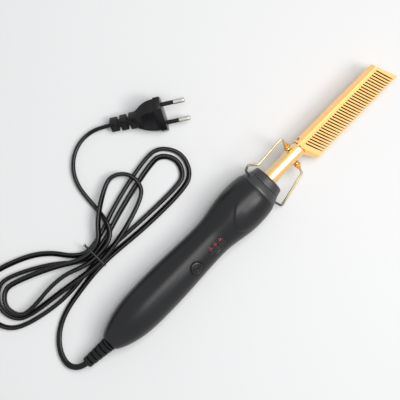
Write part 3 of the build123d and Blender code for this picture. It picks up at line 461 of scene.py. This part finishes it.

# %% [markdown]
# The barrel and the beads are the same plating, polished brighter. The stand's wire is thin drawn steel with
# pale gold on it. Near the collar its two ends lie in the collar's shade and look dark grey, and that shade
# is painted into the wire's colour. The wire is one piece, so the colour is mixed by the place along the
# tool's
# axis: the dot product of the point and the axis' direction is that place, in metres.

# %% Barrel, beads and wire
barrel_gold = finish("barrel_gold", (0.90, 0.60, 0.26), (0.94, 0.64, 0.29), 0.26, 0.32,
                     patch=30, grain=2200, bump=0.06, Metallic=1.0)
bead_gold = finish("polished_gold", (0.80, 0.48, 0.12), (0.88, 0.56, 0.16), 0.18, 0.26,
                   patch=90, grain=2500, bump=0.08, Metallic=1.0)
wire_gold = finish("drawn_wire", (0.46, 0.37, 0.22), (0.62, 0.50, 0.31), 0.3, 0.42,
                   patch=160, grain=2500, bump=0.2, Metallic=1.0)
tree = wire_gold.node_tree
along_axis = tree.nodes.new("ShaderNodeVectorMath")
along_axis.operation = "DOT_PRODUCT"
along_axis.inputs[1].default_value = TOOL.to_3x3() @ Vector((1, 0, 0))
tree.links.new(tree.nodes["Texture Coordinate"].outputs["Object"], along_axis.inputs[0])
# Painted shade: the wire turns dark grey towards the collar, where the collar shades it.
tint(wire_gold, (0.10, 0.095, 0.085), stretch(tree, along_axis.outputs["Value"], 0.017, 0.027))
print("dull ends in", wire_gold.name)

# %% [markdown]
# The window is a smoked clear plastic, made by transmission with a grey tone. The lamps are red plastic and
# unlit, as the tool is unplugged; their weak red emission is painted light, which stands in for the light
# that reaches them through the lens. What is left are the small metal pieces, the pieces inside the handle
# and the table.

# %% Window, lamps, small pieces and table
smoked = finish("smoked_window", (0.22, 0.21, 0.22), (0.28, 0.27, 0.28), 0.03, 0.06, bump=0.01,
                Transmission_Weight=0.94, IOR=1.35)
# The emission is painted light: the lamps are off, and it stands in for the light that reaches them through
# the lens.
lamp_red = finish("lamp_red", (0.55, 0.01, 0.03), (0.70, 0.02, 0.05), 0.12, 0.2,
                  Emission_Color=(0.95, 0.03, 0.10, 1), Emission_Strength=1.1)
print_white = finish("print_white", (0.30, 0.31, 0.30), (0.40, 0.42, 0.40), 0.5, 0.6, patch=900)
steel = finish("screw_steel", (0.50, 0.50, 0.51), (0.58, 0.58, 0.59), 0.3, 0.42, Metallic=1.0)
nickel = finish("pin_nickel", (0.50, 0.48, 0.44), (0.60, 0.58, 0.54), 0.2, 0.3, patch=200, Metallic=1.0)
board_green = finish("board_green", (0.02, 0.14, 0.05), (0.03, 0.18, 0.07), 0.25, 0.35)
ceramic = finish("ceramic_white", (0.74, 0.73, 0.69), (0.80, 0.79, 0.75), 0.45, 0.6)
holder_white = finish("holder_white", (0.62, 0.62, 0.60), (0.68, 0.68, 0.66), 0.4, 0.55)
film_yellow = finish("film_yellow", (0.55, 0.36, 0.05), (0.62, 0.42, 0.07), 0.3, 0.42)
wire_red = finish("wire_red", (0.30, 0.05, 0.03), (0.36, 0.07, 0.04), 0.4, 0.5)
table_white = finish("table_white", (0.805, 0.81, 0.815), (0.815, 0.82, 0.825), 0.8, 0.9,
                     patch=2.5, grain=400, bump=0.02, Specular_IOR_Level=0.2)
print("materials", len(bpy.data.materials))

# %% [markdown]
# The record names a material slot for each CAD node. Here each slot gets its finish, so that every node that
# stays as it is, such as the comb head or the pins, is dressed in one go.

# %% Dress the CAD nodes and the table
finishes = {
    "soft_black": soft_black, "collar_black": collar_black, "gloss_black": gloss_black,
    "window_black": smoked, "gold": gold, "bead_gold": bead_gold, "wire": wire_gold, "steel": steel,
    "pin_nickel": nickel, "cord_black": cord_black, "plug_black": plug_black,
    "board_green": board_green, "ceramic_white": ceramic, "lamp_red": lamp_red,
    "holder_white": holder_white, "film_yellow": film_yellow, "wire_red": wire_red,
}


def dress(piece, made):
    """Give a piece or a CAD node one finish."""
    piece.data.materials.clear()
    piece.data.materials.append(made)


for row in frame["record"]["subparts"]:
    dress(nodes[row["node"]], finishes[row["material_slot"]])
dress(table, table_white)
print("finishes", len(finishes))

# %% [markdown]
# Most of this tool is turned work: handle, collar, barrel, beads, gland. Blender's Spin could turn a drawn
# profile, but a circle that is extruded along its axis ring by ring, and resized at each ring, needs no
# profile and is how one would do it by hand. A profile that comes back to its first ring makes a closed wall,
# and one that starts and ends in a tiny ring closes at its poles.

# %% Helper for turned pieces
POLE = 0.008                   # radius of a ring that merges to one point
MERGE = 0.00003


def turned(name, rings, around=96, angle=35.0):
    """A closed piece turned about the X axis, from rings of (place along X, radius)."""
    (x, r), rest = rings[0], rings[1:]
    bpy.ops.object.select_all(action="DESELECT")
    bpy.ops.mesh.primitive_circle_add(vertices=around, radius=r * MM, location=(x * MM, 0, 0),
                                      rotation=(0, math.pi / 2, 0))
    piece = bpy.context.object
    piece.name = piece.data.name = name
    bpy.ops.object.transform_apply(location=True, rotation=True, scale=True)
    bpy.ops.object.mode_set(mode="EDIT")
    bpy.ops.mesh.select_mode(type="VERT")
    bpy.ops.mesh.select_all(action="SELECT")
    for next_x, next_r in rest:
        bpy.ops.mesh.extrude_region_move(TRANSFORM_OT_translate={"value": ((next_x - x) * MM, 0, 0)})
        bpy.ops.transform.resize(value=(1, next_r / r, next_r / r), center_override=(next_x * MM, 0, 0))
        x, r = next_x, next_r
    bpy.ops.mesh.select_all(action="SELECT")
    bpy.ops.mesh.remove_doubles(threshold=MERGE)
    bpy.ops.mesh.normals_make_consistent(inside=False)
    bpy.ops.object.mode_set(mode="OBJECT")
    bpy.ops.object.shade_smooth_by_angle(angle=math.radians(angle))
    return piece


print("radius of a pole's ring", POLE, "mm")


# %% Helpers to place, cut, join and rig a piece
def put(piece, place):
    """Move a piece's mesh to its place, so that its object stays at the origin."""
    piece.data.transform(place)
    piece.data.update()


def local(x, y=0.0, z=0.0):
    """A move in millimetres."""
    return Matrix.Translation(Vector((x, y, z)) * MM)


def apply_all(piece):
    """Apply all of a piece's modifiers."""
    bpy.ops.object.select_all(action="DESELECT")
    bpy.context.view_layer.objects.active = piece
    piece.select_set(True)
    for modifier in list(piece.modifiers):
        bpy.ops.object.modifier_apply(modifier=modifier.name)


def cut_hole(piece, cutter):
    """Cut a closed cutter out of a piece, and remove the cutter."""
    hole = piece.modifiers.new("hole", "BOOLEAN")
    hole.operation = "DIFFERENCE"
    hole.object = cutter
    apply_all(piece)
    bpy.data.objects.remove(cutter)


def select_faces(piece, wanted):
    """Select the faces that wanted says, and stay in edit mode."""
    bpy.ops.object.mode_set(mode="EDIT")
    bpy.ops.mesh.select_mode(type="FACE")
    bpy.ops.mesh.select_all(action="DESELECT")
    bpy.ops.object.mode_set(mode="OBJECT")
    for face in piece.data.polygons:
        face.select = wanted(face)
    bpy.ops.object.mode_set(mode="EDIT")


def join(name, pieces):
    """Make one piece of several."""
    bpy.ops.object.select_all(action="DESELECT")
    for piece in pieces:
        piece.select_set(True)
    bpy.context.view_layer.objects.active = pieces[0]
    bpy.ops.object.join()
    pieces[0].name = pieces[0].data.name = name
    return pieces[0]


def rig(piece, body, slot, made, *replaced):
    """Give a piece its body, its finish, and the CAD nodes that it stands for."""
    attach(piece, body)
    if replaced:
        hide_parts(*replaced)
    dress(piece, made)
    print(piece.name, len(piece.data.polygons), "faces")


UPRIGHT = Matrix.Rotation(-math.pi / 2, 4, "Y")     # turns a piece's X axis up
print("helpers for pieces are ready")

# %% [markdown]
# The handle is a two-part shell of black plastic with a soft-touch coat, parted along its length. The lower
# half is plain, so the CAD's shape stays. The top half carries the button and the window, and its bulge
# starts with an arched edge, like the tip of a petal. It could be sculpted, but it is round for the most
# part. So it is turned whole and cut at the parting plane, with rings closer together where the tail rounds
# in and where the petal will be.

# %% Handle's top half
share = 0.0115
rings = [(TAIL_X + 0.02, 5.0), (TAIL_X, 5.9), (TAIL_X + 0.12, 6.5), (TAIL_X + 0.45, 7.1),
         (TAIL_X + 1.0, 7.65)]
while share < 0.985:
    rings.append((TAIL_X + share * HANDLE_L, handle_radius(share)))
    share += 0.0045 if 0.78 < share < 0.95 else 0.008 if share < 0.2 else 0.014
rings += [(RIM_X - 1.6, handle_radius(0.99)), (RIM_X - 0.7, 17.96), (RIM_X - 0.25, 17.84), (RIM_X, 17.5)]
top_shell = turned("handle_top_skin", rings, around=192)
bpy.ops.object.mode_set(mode="EDIT")
bpy.ops.mesh.select_all(action="SELECT")
bpy.ops.mesh.bisect(plane_co=(0, 0, 0.02 * MM), plane_no=(0, 0, 1), clear_inner=True)
bpy.ops.object.mode_set(mode="OBJECT")
print("rings of the handle", len(rings))

# %% [markdown]
# The petal's edge is a step of under a millimetre in the shell. Cutting it in would need an edge loop along
# the arch. Instead every point moves out or in a little: out beyond the edge, where the step dies away along
# the handle, and in by a hair in front of it. The step also fades towards the sides, sooner on one of them.

# %% Petal's edge on the bulge
PETAL_X, PETAL_LIFT, PETAL_DIP = -20.4, 0.75, 0.10
EDGE_W = 3.0                                        # the width of the step
LIFT_FADE, DIP_FADE = 8.0, 7.0                      # along the handle
SIDE_END, SIDE_FADE = 66.0, 40.0                    # round the handle, in degrees from its top
SHORT_END, SHORT_FADE = -34.0, 30.0                 # the same on the side where it fades sooner
MOVED_FROM, MOVED_TO = -45.0, RIM_X - 1.0


def petal_edge(turn):
    """Where the petal starts along the handle, at a turn in degrees from the top."""
    return PETAL_X + (abs(turn) / 10.3) ** 1.75


for vertex in top_shell.data.vertices:
    x, y, z = vertex.co / MM
    if not MOVED_FROM < x < MOVED_TO:
        continue
    turn = math.degrees(math.atan2(y, z))
    inside = x - petal_edge(turn)
    fade = max(0.0, min(1.0, (SIDE_END - abs(turn)) / SIDE_FADE)) ** 1.3
    fade *= smooth((turn - SHORT_END) / SHORT_FADE)
    rise = smooth((inside + EDGE_W / 2) / EDGE_W)
    lift = fade * (PETAL_LIFT * rise * math.exp(-max(0.0, inside) / LIFT_FADE)
                   - PETAL_DIP * (1 - rise) * math.exp(min(0.0, inside) / DIP_FADE))
    grow = 1 + lift / math.hypot(y, z)
    vertex.co = Vector((x, y * grow, z * grow)) * MM
top_shell.data.update()
print("petal's edge at the top", PETAL_X)

# %% [markdown]
# A Solidify modifier gives the skin the real shell's wall, inwards, so the outside keeps its size. Then the
# openings for the button and the window are cut with a cylinder and an oval one, a little wider than the
# pieces that go in.

# %% Its wall and its holes
WALL = 2.4
BUTTON_X, BUTTON_R, RING_HOLE_R = -63.5, 5.0, 6.34
WINDOW_X, WINDOW_L, WINDOW_W, WINDOW_GAP = -40.3, 15.8, 10.4, 0.1
wall = top_shell.modifiers.new("wall", "SOLIDIFY")
wall.thickness = WALL * MM
wall.offset = -1.0
apply_all(top_shell)
for x, half_l, half_w in ((BUTTON_X, RING_HOLE_R, RING_HOLE_R),
                          (WINDOW_X, WINDOW_L / 2 + WINDOW_GAP, WINDOW_W / 2 + WINDOW_GAP)):
    bpy.ops.mesh.primitive_cylinder_add(vertices=72, radius=1.0, depth=20 * MM, location=(x * MM, 0, 18 * MM))
    bpy.context.object.scale = (half_l * MM, half_w * MM, 1)
    cut_hole(top_shell, bpy.context.object)
bpy.ops.object.shade_smooth_by_angle(angle=math.radians(28))
put(top_shell, TOOL)
rig(top_shell, "tool", "soft_black", soft_black, "handle_top_shell")

# %% [markdown]
# The collar ring closes the shells at the hot end. It is a separate turned piece, because a thin dark seam
# runs round it on both sides. Its rounded shoulder stands just under the shells' rim, and it narrows towards
# the nose cap. The stand's two ends turn in it, so a rod across it cuts both holes at once.

# %% Collar ring
RING_L, NOSE_L, PIVOT_BACK, PIVOT_HOLE_R = 7.2, 6.8, 9.4, 0.98
NOSE_X = RIM_X + RING_L + NOSE_L
shoulder = turned("collar_shoulder", [(RIM_X - 3, 14.2), (RIM_X - 3, 15.2), (RIM_X - 0.2, 15.2),
                                      (RIM_X - 0.15, 16.9), (RIM_X + 0.25, 17.2), (RIM_X + 0.9, 17.25),
                                      (RIM_X + 2.4, 16.75), (RIM_X + 4.4, 15.95), (RIM_X + 6.2, 15.2),
                                      (RIM_X + 6.75, 14.85), (RIM_X + 6.95, 14.5), (RIM_X + 6.95, 14.2),
                                      (RIM_X - 3, 14.2)], around=160)
bpy.ops.mesh.primitive_cylinder_add(vertices=32, radius=PIVOT_HOLE_R * MM, depth=40 * MM,
                                    location=((NOSE_X - PIVOT_BACK) * MM, 0, 0), rotation=(math.pi / 2, 0, 0))
cut_hole(shoulder, bpy.context.object)
bpy.ops.object.shade_smooth_by_angle(angle=math.radians(35))
put(shoulder, TOOL)
rig(shoulder, "tool", "collar_black", collar_black, "collar_ring")

# %% [markdown]
# The button, its ring and the window all follow the handle's curve. They could be cut from a copy of the
# shell, but their rims would be hard to round then. So each is turned flat on its own axis, and afterwards
# every point is moved up by the height of the handle's surface over it, the lower points less and less.


# %% Helper that lays a flat piece on the handle
def skin_height(x, y):
    """Height of the handle's surface over its axis."""
    r = handle_radius((x - TAIL_X) / HANDLE_L)
    return math.sqrt(r * r - y * y)


def lay_on_handle(piece, x, deep=3.0):
    """Lay a piece that was modelled about z = 0 on the handle at x. Its curve dies away over deep."""
    flat = handle_radius((x - TAIL_X) / HANDLE_L) - 0.4
    for vertex in piece.data.vertices:
        vx, vy, vz = vertex.co / MM
        follow = max(0.0, min(1.0, 1 + (vz + 1.2) / deep))
        height = flat + follow * (skin_height(x + vx, vy) - flat)
        vertex.co = Vector((x + vx, vy, vz + height)) * MM
    piece.data.update()


print("height of the surface at the button", round(skin_height(BUTTON_X, 0), 2))

# %% [markdown]
# The button is a low round cap with a mark on it that stands a little proud: an open ring and a bar, as on
# any mains switch. The ring is a torus with a few of its faces taken out and its two ends closed. The bar is
# turned, and all three are joined, because the mark is moulded with the cap.

# %% Button
MARK_R, MARK_T, MARK_Z, MARK_GAP = 1.9, 0.34, 0.42, 0.62
cap = turned("power_button_cap", [(-4.2, POLE), (-4.2, BUTTON_R - 0.3), (-3.8, BUTTON_R), (-0.4, BUTTON_R),
                                  (0.0, BUTTON_R - 0.12), (0.22, BUTTON_R - 0.4), (0.33, BUTTON_R - 0.9),
                                  (0.34, 3.2), (0.34, 1.6), (0.34, POLE)], around=72)
put(cap, UPRIGHT)
bpy.ops.mesh.primitive_torus_add(major_radius=MARK_R * MM, minor_radius=MARK_T * MM, major_segments=48,
                                 minor_segments=8, location=(0, 0, MARK_Z * MM))
mark = bpy.context.object
bpy.ops.object.transform_apply(location=True)
select_faces(mark, lambda face: face.center.y > 0 and abs(face.center.x) < MARK_GAP * MM)
bpy.ops.mesh.delete(type="FACE")
bpy.ops.mesh.select_all(action="SELECT")
bpy.ops.mesh.fill_holes(sides=0)
bpy.ops.object.mode_set(mode="OBJECT")
bar = turned("bar", [(0.2, POLE), (0.25, 0.2), (0.45, 0.32), (2.2, 0.32), (2.4, 0.2), (2.45, POLE)],
             around=12)
put(bar, local(0, 0, MARK_Z) @ Matrix.Rotation(math.pi / 2, 4, "Z"))
cap = join("power_button_cap", [cap, mark, bar])
put(cap, Matrix.Rotation(-math.pi / 2, 4, "Z"))
lay_on_handle(cap, BUTTON_X)
put(cap, TOOL)
rig(cap, "button", "soft_black", button_black, "power_button")

# %% [markdown]
# A thin ring stands round the button and leaves a fine gap to it. Its inner edge is rounded more than its
# outer one, which is what catches the light in the photograph.

# %% Ring round the button
surround = turned("button_surround", [(-2.4, BUTTON_R + 0.09), (-0.75, BUTTON_R + 0.09), (-0.42, 5.2),
                                      (-0.2, 5.5), (-0.08, 5.9), (-0.12, 6.15), (-0.3, RING_HOLE_R - 0.05),
                                      (-2.4, RING_HOLE_R - 0.05), (-2.4, BUTTON_R + 0.09)], around=96)
put(surround, UPRIGHT)
lay_on_handle(surround, BUTTON_X)
put(surround, TOOL)
rig(surround, "tool", "soft_black", soft_black, "button_ring")

# %% [markdown]
# The window is a smoked oval lens with a low rim. It is turned round, with a radius of 1, and a diagonal
# matrix then stretches it to its length and width. Behind it lies a flat black mask, which hides the inside
# of the handle.

# %% Window's lens and mask
oval = Matrix.Diagonal((WINDOW_L / 2, WINDOW_W / 2, 1, 1)) @ UPRIGHT
glass = turned("window_lens", [(-1.6, POLE), (-1.6, 0.93), (-1.55, 0.99), (-0.15, 1.0), (0.12, 0.985),
                               (0.22, 0.95), (0.22, 0.90), (0.1, 0.86), (0.1, 0.6), (0.1, 0.3), (0.1, POLE)],
               around=96)
put(glass, oval)
lay_on_handle(glass, WINDOW_X, deep=40.0)
put(glass, TOOL)
rig(glass, "tool", "window_black", smoked, "display_window")

mask = turned("window_mask", [(11.2, POLE), (11.2, 0.97), (11.9, 0.97), (12.0, 0.94), (12.0, POLE)],
              around=64)
put(mask, TOOL @ local(WINDOW_X) @ oval)
rig(mask, "tool", "gloss_black", gloss_black)

# %% [markdown]
# Three round red lamps show through the lens, each with a small pale number beside it. One lamp is turned for
# each place, domed at its top. The numbers are Blender's own text, made a mesh. They are only the digits 1 to
# 3, since what is printed there can't be read in the photograph.

# %% Lamps
LED_PITCH, LED_Y = 5.1, 1.3
lenses = []
for i in (-1, 0, 1):
    lens = turned("lamp", [(11.6, POLE), (11.6, 1.2), (12.3, 1.2), (12.7, 1.05), (12.95, 0.7),
                           (13.08, 0.35), (13.1, POLE)], around=32)
    put(lens, TOOL @ local(WINDOW_X + i * LED_PITCH, LED_Y) @ UPRIGHT)
    lenses.append(lens)
rig(join("indicator_lenses", lenses), "tool", "lamp_red", lamp_red, "indicator_lamps")

# %% Numbers
DIGIT_SIZE, DIGIT_DEEP, DIGIT_DOWN, DIGIT_Z = 2.0, 0.06, 3.9, 12.1
digits = []
for i in (-1, 0, 1):
    bpy.ops.object.text_add(location=(0, 0, 0))
    digit = bpy.context.object
    digit.data.body = str(i + 2)
    digit.data.size = DIGIT_SIZE * MM
    digit.data.extrude = DIGIT_DEEP * MM
    digit.data.align_x = "CENTER"
    bpy.ops.object.convert(target="MESH")
    bpy.ops.object.mode_set(mode="EDIT")
    bpy.ops.mesh.select_all(action="SELECT")
    bpy.ops.mesh.remove_doubles(threshold=0.001 * MM)
    bpy.ops.object.mode_set(mode="OBJECT")
    put(digit, TOOL @ local(WINDOW_X + i * LED_PITCH, LED_Y - DIGIT_DOWN, DIGIT_Z))
    digits.append(digit)
rig(join("lamp_numbers", digits), "tool", "holder_white", print_white)

# %% [markdown]
# The barrel is a gold-plated steel tube whose front edge is rolled in where the comb's spigot enters it. That
# rolled edge is what tells it from a plain cylinder, so it gets most of the rings. The profile comes back
# inside, which gives the tube its wall.

# %% Barrel
BARREL_OUT, BARREL_R = 34.7, 5.75
HEAD_X = NOSE_X + BARREL_OUT
barrel = turned("barrel_sleeve", [(NOSE_X - 8, 5.0), (NOSE_X - 8, BARREL_R), (NOSE_X - 4, BARREL_R),
                                  (NOSE_X + 10, BARREL_R), (NOSE_X + 20, BARREL_R), (HEAD_X - 2.1, BARREL_R),
                                  (HEAD_X - 1.3, 5.6), (HEAD_X - 0.7, 5.2), (HEAD_X - 0.25, 4.6),
                                  (HEAD_X - 0.05, 4.0), (HEAD_X, 3.6), (HEAD_X - 1.4, 3.6),
                                  (HEAD_X - 2.4, 5.0), (NOSE_X - 8, 5.0)], around=128)
put(barrel, TOOL)
rig(barrel, "tool", "gold", barrel_gold, "barrel_tube")

# %% [markdown]
# Two gold beads sit on the stand's wire, one each side of the barrel. They are turned from brass, with
# grooves between their rims, and drilled for the wire. The foot of the stand slants, so both are turned to
# lie along it, and they ride on the stand, because they swing with it.

# %% Beads of the stand
WIRE_HOLE_R, BEAD_GAP, BEAD_R_AT_BARREL = 0.95, 0.35, 3.3
FOOT_NEAR, FOOT_FAR = (22.0, -18.0), (28.5, 17.7)           # the foot's ends, from the nose and the axis
foot_slope = (FOOT_FAR[0] - FOOT_NEAR[0]) / (FOOT_FAR[1] - FOOT_NEAR[1])
foot_turn = math.atan(foot_slope)
bead_from = BARREL_R + BEAD_R_AT_BARREL * math.sin(foot_turn) + BEAD_GAP
bead_rings = [(0.0, WIRE_HOLE_R), (0.0, 1.5), (0.3, 2.1), (0.7, 2.3), (1.2, 2.1), (1.4, 1.5), (1.7, 1.5),
              (1.9, 2.4), (2.3, 2.8), (3.2, 2.8), (3.6, 2.4), (3.8, 1.5), (4.1, 1.5), (4.3, 1.9), (4.7, 1.95),
              (4.9, 1.4), (5.2, 1.4), (5.4, 1.65), (5.9, 1.6), (6.3, 1.2), (6.4, WIRE_HOLE_R),
              (0.0, WIRE_HOLE_R)]
for side, name in ((1, "left"), (-1, "right")):
    bead = turned("bead_" + name, bead_rings, around=40, angle=30)
    y = side * bead_from
    x = NOSE_X + FOOT_NEAR[0] + (y - FOOT_NEAR[1]) * foot_slope
    put(bead, TOOL @ local(x, y) @ Matrix.Rotation(side * math.pi / 2 - foot_turn, 4, "Z"))
    rig(bead, "stand", "bead_gold", bead_gold, "stand_bead_" + name)

# %% [markdown]
# The cord gland is soft PVC, moulded in blocks with gaps between them so that it bends evenly. It is turned
# first, as a tapering row of ribs. Each rib then has a notch cut out of one side, left and right by turns,
# which leaves the blocks that the photograph shows.

# %% Gland's ribs
GLAND_RIBS, FIRST_RIB, RIB_R, TAPER, GAP_DEEP = 5, 1.0, 6.1, 1.5, 1.7
gland_rings = [(-0.6, POLE), (-0.6, 6.2), (FIRST_RIB, 6.3)]
rib_pitch = (GLAND_L + 1.8 - FIRST_RIB) / GLAND_RIBS
for i in range(GLAND_RIBS):
    at = FIRST_RIB + i * rib_pitch
    r = RIB_R - TAPER * (i + 0.5) / GLAND_RIBS
    gland_rings += [(at + 0.1, r - GAP_DEEP), (at + 1.2, r - GAP_DEEP), (at + 1.3, r - 0.3), (at + 1.6, r),
                    (at + rib_pitch - 0.3, r - 0.1), (at + rib_pitch, r - 0.4)]
gland_rings += [(GLAND_L + 1.85, 2.6), (GLAND_L + 1.85, POLE)]
gland = turned("cord_gland_ribs", gland_rings, around=56, angle=40)
print("rings of the gland", len(gland_rings))

# %% Gland's notches, and its place
NOTCH = Vector((1.3, 4.0, 3.4)) * MM
for i in range(GLAND_RIBS):
    bpy.ops.mesh.primitive_cube_add(size=1.0)
    notch = bpy.context.object
    notch.scale = NOTCH
    from_axis = (5.9 - 0.2 * i) * (1 if i % 2 else -1)
    notch.location = Vector((FIRST_RIB + (i + 0.62) * rib_pitch, from_axis, 0)) * MM
    cut_hole(gland, notch)
bpy.ops.object.shade_smooth_by_angle(angle=math.radians(40))
axis = gland_axis()
side_way = axis.cross(Vector((0, 0, 1))).normalized()
turn_away = Matrix((axis, side_way, axis.cross(side_way))).transposed().to_4x4()
put(gland, Matrix.Translation(tail_at) @ turn_away)
rig(gland, "tool", "plug_black", plug_black, "cord_gland")

# %% [markdown]
# The plug is one moulding: three blocks of a strain relief, a six-sided grip that widens to its flange, and a
# shallow thumb panel on each wide face. The grip starts as a circle of six points, pulled to the plug's
# section. It is then extruded and resized at each step, which keeps its six edges running through.

# %% Plug's grip and flange
BOOT_L, PLUG_L = 21.7, 21.7
FACE_X = BOOT_L + PLUG_L
CORNER_AT = 0.31               # the wide faces' corners, as a share of the width from the middle
steps = [(21.2, 16.0, 10.0), (22.2, 18.0, 10.4), (24.4, 21.4, 11.0), (26.7, 25.2, 11.6), (29.1, 28.4, 12.0),
         (31.6, 30.8, 12.4), (34.0, 32.2, 12.6), (36.6, 32.9, 12.8), (38.3, 33.1, 12.8), (38.4, 35.3, 13.7),
         (FACE_X, 35.3, 13.7)]
bpy.ops.mesh.primitive_circle_add(vertices=6, radius=1.0, fill_type="NGON", rotation=(0, math.pi / 2, 0))
grip = bpy.context.object
bpy.ops.object.transform_apply(rotation=True)
x, w, t = steps[0]
for vertex in grip.data.vertices:
    side = math.copysign(1, vertex.co.y)
    level = math.copysign(1, vertex.co.z)
    at_tip = abs(vertex.co.y) > 0.9
    vertex.co = Vector((x, side * w * (0.5 if at_tip else CORNER_AT), 0 if at_tip else level * 0.5 * t)) * MM
bpy.ops.object.mode_set(mode="EDIT")
bpy.ops.mesh.select_all(action="SELECT")
for next_x, next_w, next_t in steps[1:]:
    bpy.ops.mesh.extrude_region_move(TRANSFORM_OT_translate={"value": ((next_x - x) * MM, 0, 0)})
    bpy.ops.transform.resize(value=(1, next_w / w, next_t / t), center_override=(next_x * MM, 0, 0))
    x, w, t = next_x, next_w, next_t
bpy.ops.mesh.select_all(action="SELECT")
bpy.ops.mesh.normals_make_consistent(inside=False)
bpy.ops.object.mode_set(mode="OBJECT")
print("steps of the grip", len(steps))

# %% Thumb panels, and the grip's rounded edges
for up in (1, -1):
    select_faces(grip, lambda face: face.normal.z * up > 0.9 and 24.4 < face.center.x / MM < 38.0)
    bpy.ops.mesh.inset(thickness=1.7 * MM, use_even_offset=True)
    bpy.ops.mesh.inset(thickness=0.25 * MM, use_even_offset=True)
    bpy.ops.transform.translate(value=(0, 0, -0.7 * up * MM))
    bpy.ops.object.mode_set(mode="OBJECT")
edge = grip.modifiers.new("moulded_edges", "BEVEL")
edge.width = 0.55 * MM
edge.segments = 3
edge.limit_method = "ANGLE"
edge.angle_limit = math.radians(24)
apply_all(grip)
print("faces of the grip", len(grip.data.polygons))

# %% [markdown]
# The strain relief's three blocks grow a little towards the grip. Each has a shallow pocket in its two wide
# faces and soft moulded edges. A thin core runs through them and into the grip, as the moulding does round
# the real cord, so no daylight shows between a block and the next.

# %% Plug's strain relief
blocks = []
for x0, x1 in ((0.0, 6.6), (8.2, 14.0), (15.6, 21.8)):
    bpy.ops.mesh.primitive_cube_add(size=1.0, location=((x0 + x1) / 2 * MM, 0, 0))
    block = bpy.context.object
    block.scale = ((x1 - x0) * MM, (9.6 + 0.12 * x0) * MM, (7.4 + 0.05 * x0) * MM)
    bpy.ops.object.transform_apply(location=True, scale=True)
    for up in (1, -1):
        select_faces(block, lambda face: face.normal.z * up > 0.9)
        bpy.ops.mesh.inset(thickness=1.7 * MM)
        bpy.ops.transform.translate(value=(0, 0, -0.9 * up * MM))
        bpy.ops.object.mode_set(mode="OBJECT")
    soft = block.modifiers.new("soft", "BEVEL")
    soft.width = 0.6 * MM
    soft.segments = 3
    apply_all(block)
    blocks.append(block)
core = turned("core", [(0.3, POLE), (0.3, 3.2), (10, 3.4), (23, 3.9), (23, POLE)], around=32)
put(core, Matrix.Diagonal((1, 1.12, 0.8, 1)))
plug = join("plug_moulding", [grip] + blocks + [core])
bpy.ops.object.shade_smooth_by_angle(angle=math.radians(30))
put(plug, PLUG)
rig(plug, "tool", "plug_black", plug_black, "plug_body")

# %% [markdown]
# The tie is a paper-thin strip with a wire in it, wrapped round the waist of the hank and twisted at its
# upper left. The band is a small outline swept along a rounded rectangle that closes on itself. Each of its
# two tails is a round wire swept along a helix, and they open a little at their tips.

# %% Twist tie's band
TIE_AT = Vector((TIE.x - CENTRE_X, TIE.y, 0))
CORD_R, TIE_GAP, TIE_LOW, TIE_CORNER = 2.2, 0.2, 0.9, 2.6
tie_high = CORD_Z + WAIST_UP + LAYER + CORD_R + TIE_GAP
half = 1.5 * LANE + 2.6
mid = (TIE_LOW + tie_high) / 2
loop = []
for quarter, (sy, sz) in enumerate(((1, 1), (-1, 1), (-1, -1), (1, -1))):
    corner_y = TIE_AT.y + sy * (half - TIE_CORNER)
    corner_z = mid + sz * ((tie_high - TIE_LOW) / 2 - TIE_CORNER)
    for k in range(7):
        a = math.radians(90 * quarter + 15 * k)
        loop.append(Vector((TIE_AT.x, corner_y + TIE_CORNER * math.cos(a),
                            corner_z + TIE_CORNER * math.sin(a))) * MM)
strip = [(u * 0.6 * MM, v * 0.28 * MM) for u, v in ((1, 0.5), (0.85, 1), (-0.85, 1), (-1, 0.5), (-1, -0.5),
                                                     (-0.85, -1), (0.85, -1), (1, -0.5))]
band = sweep_outline("tie_band", loop + [loop[0], loop[1]], strip, side=Vector((1, 0, 0)))

# %% Its twisted tails
TAIL_R, TAIL_L, TAIL_TURN = 0.42, 3.4, 9.0
start = Vector((TIE_AT.x, TIE_AT.y + half - 0.2, tie_high - 1.2))
round_tail = [(TAIL_R * math.cos(2 * math.pi * k / 8) * MM, TAIL_R * math.sin(2 * math.pi * k / 8) * MM)
              for k in range(8)]
tails = []
for phase in (0.0, math.pi):
    helix = []
    for k in range(25):
        s = k / 24
        spread = 0.5 + 1.6 * max(0.0, s - 0.7)
        a = phase + TAIL_TURN * min(s, 0.75)
        helix.append((start + Vector((spread * math.cos(a), TAIL_L * s, spread * math.sin(a)))) * MM)
    tails.append(sweep_outline("tie_tail", helix, round_tail, side=Vector((1, 0, 0))))
tie = join("twist_tie_strip", [band] + tails)
rig(tie, "tool", "cord_black", tie_black, "twist_tie")

# %% [markdown]
# Last, the cord is rigged: it rides on the tool, takes the cord's black finish, and stands for the three CAD
# nodes of its leads and its hank.

rig(cord, "tool", "cord_black", cord_black, "cord_handle_lead", "cord_hank", "cord_plug_lead")
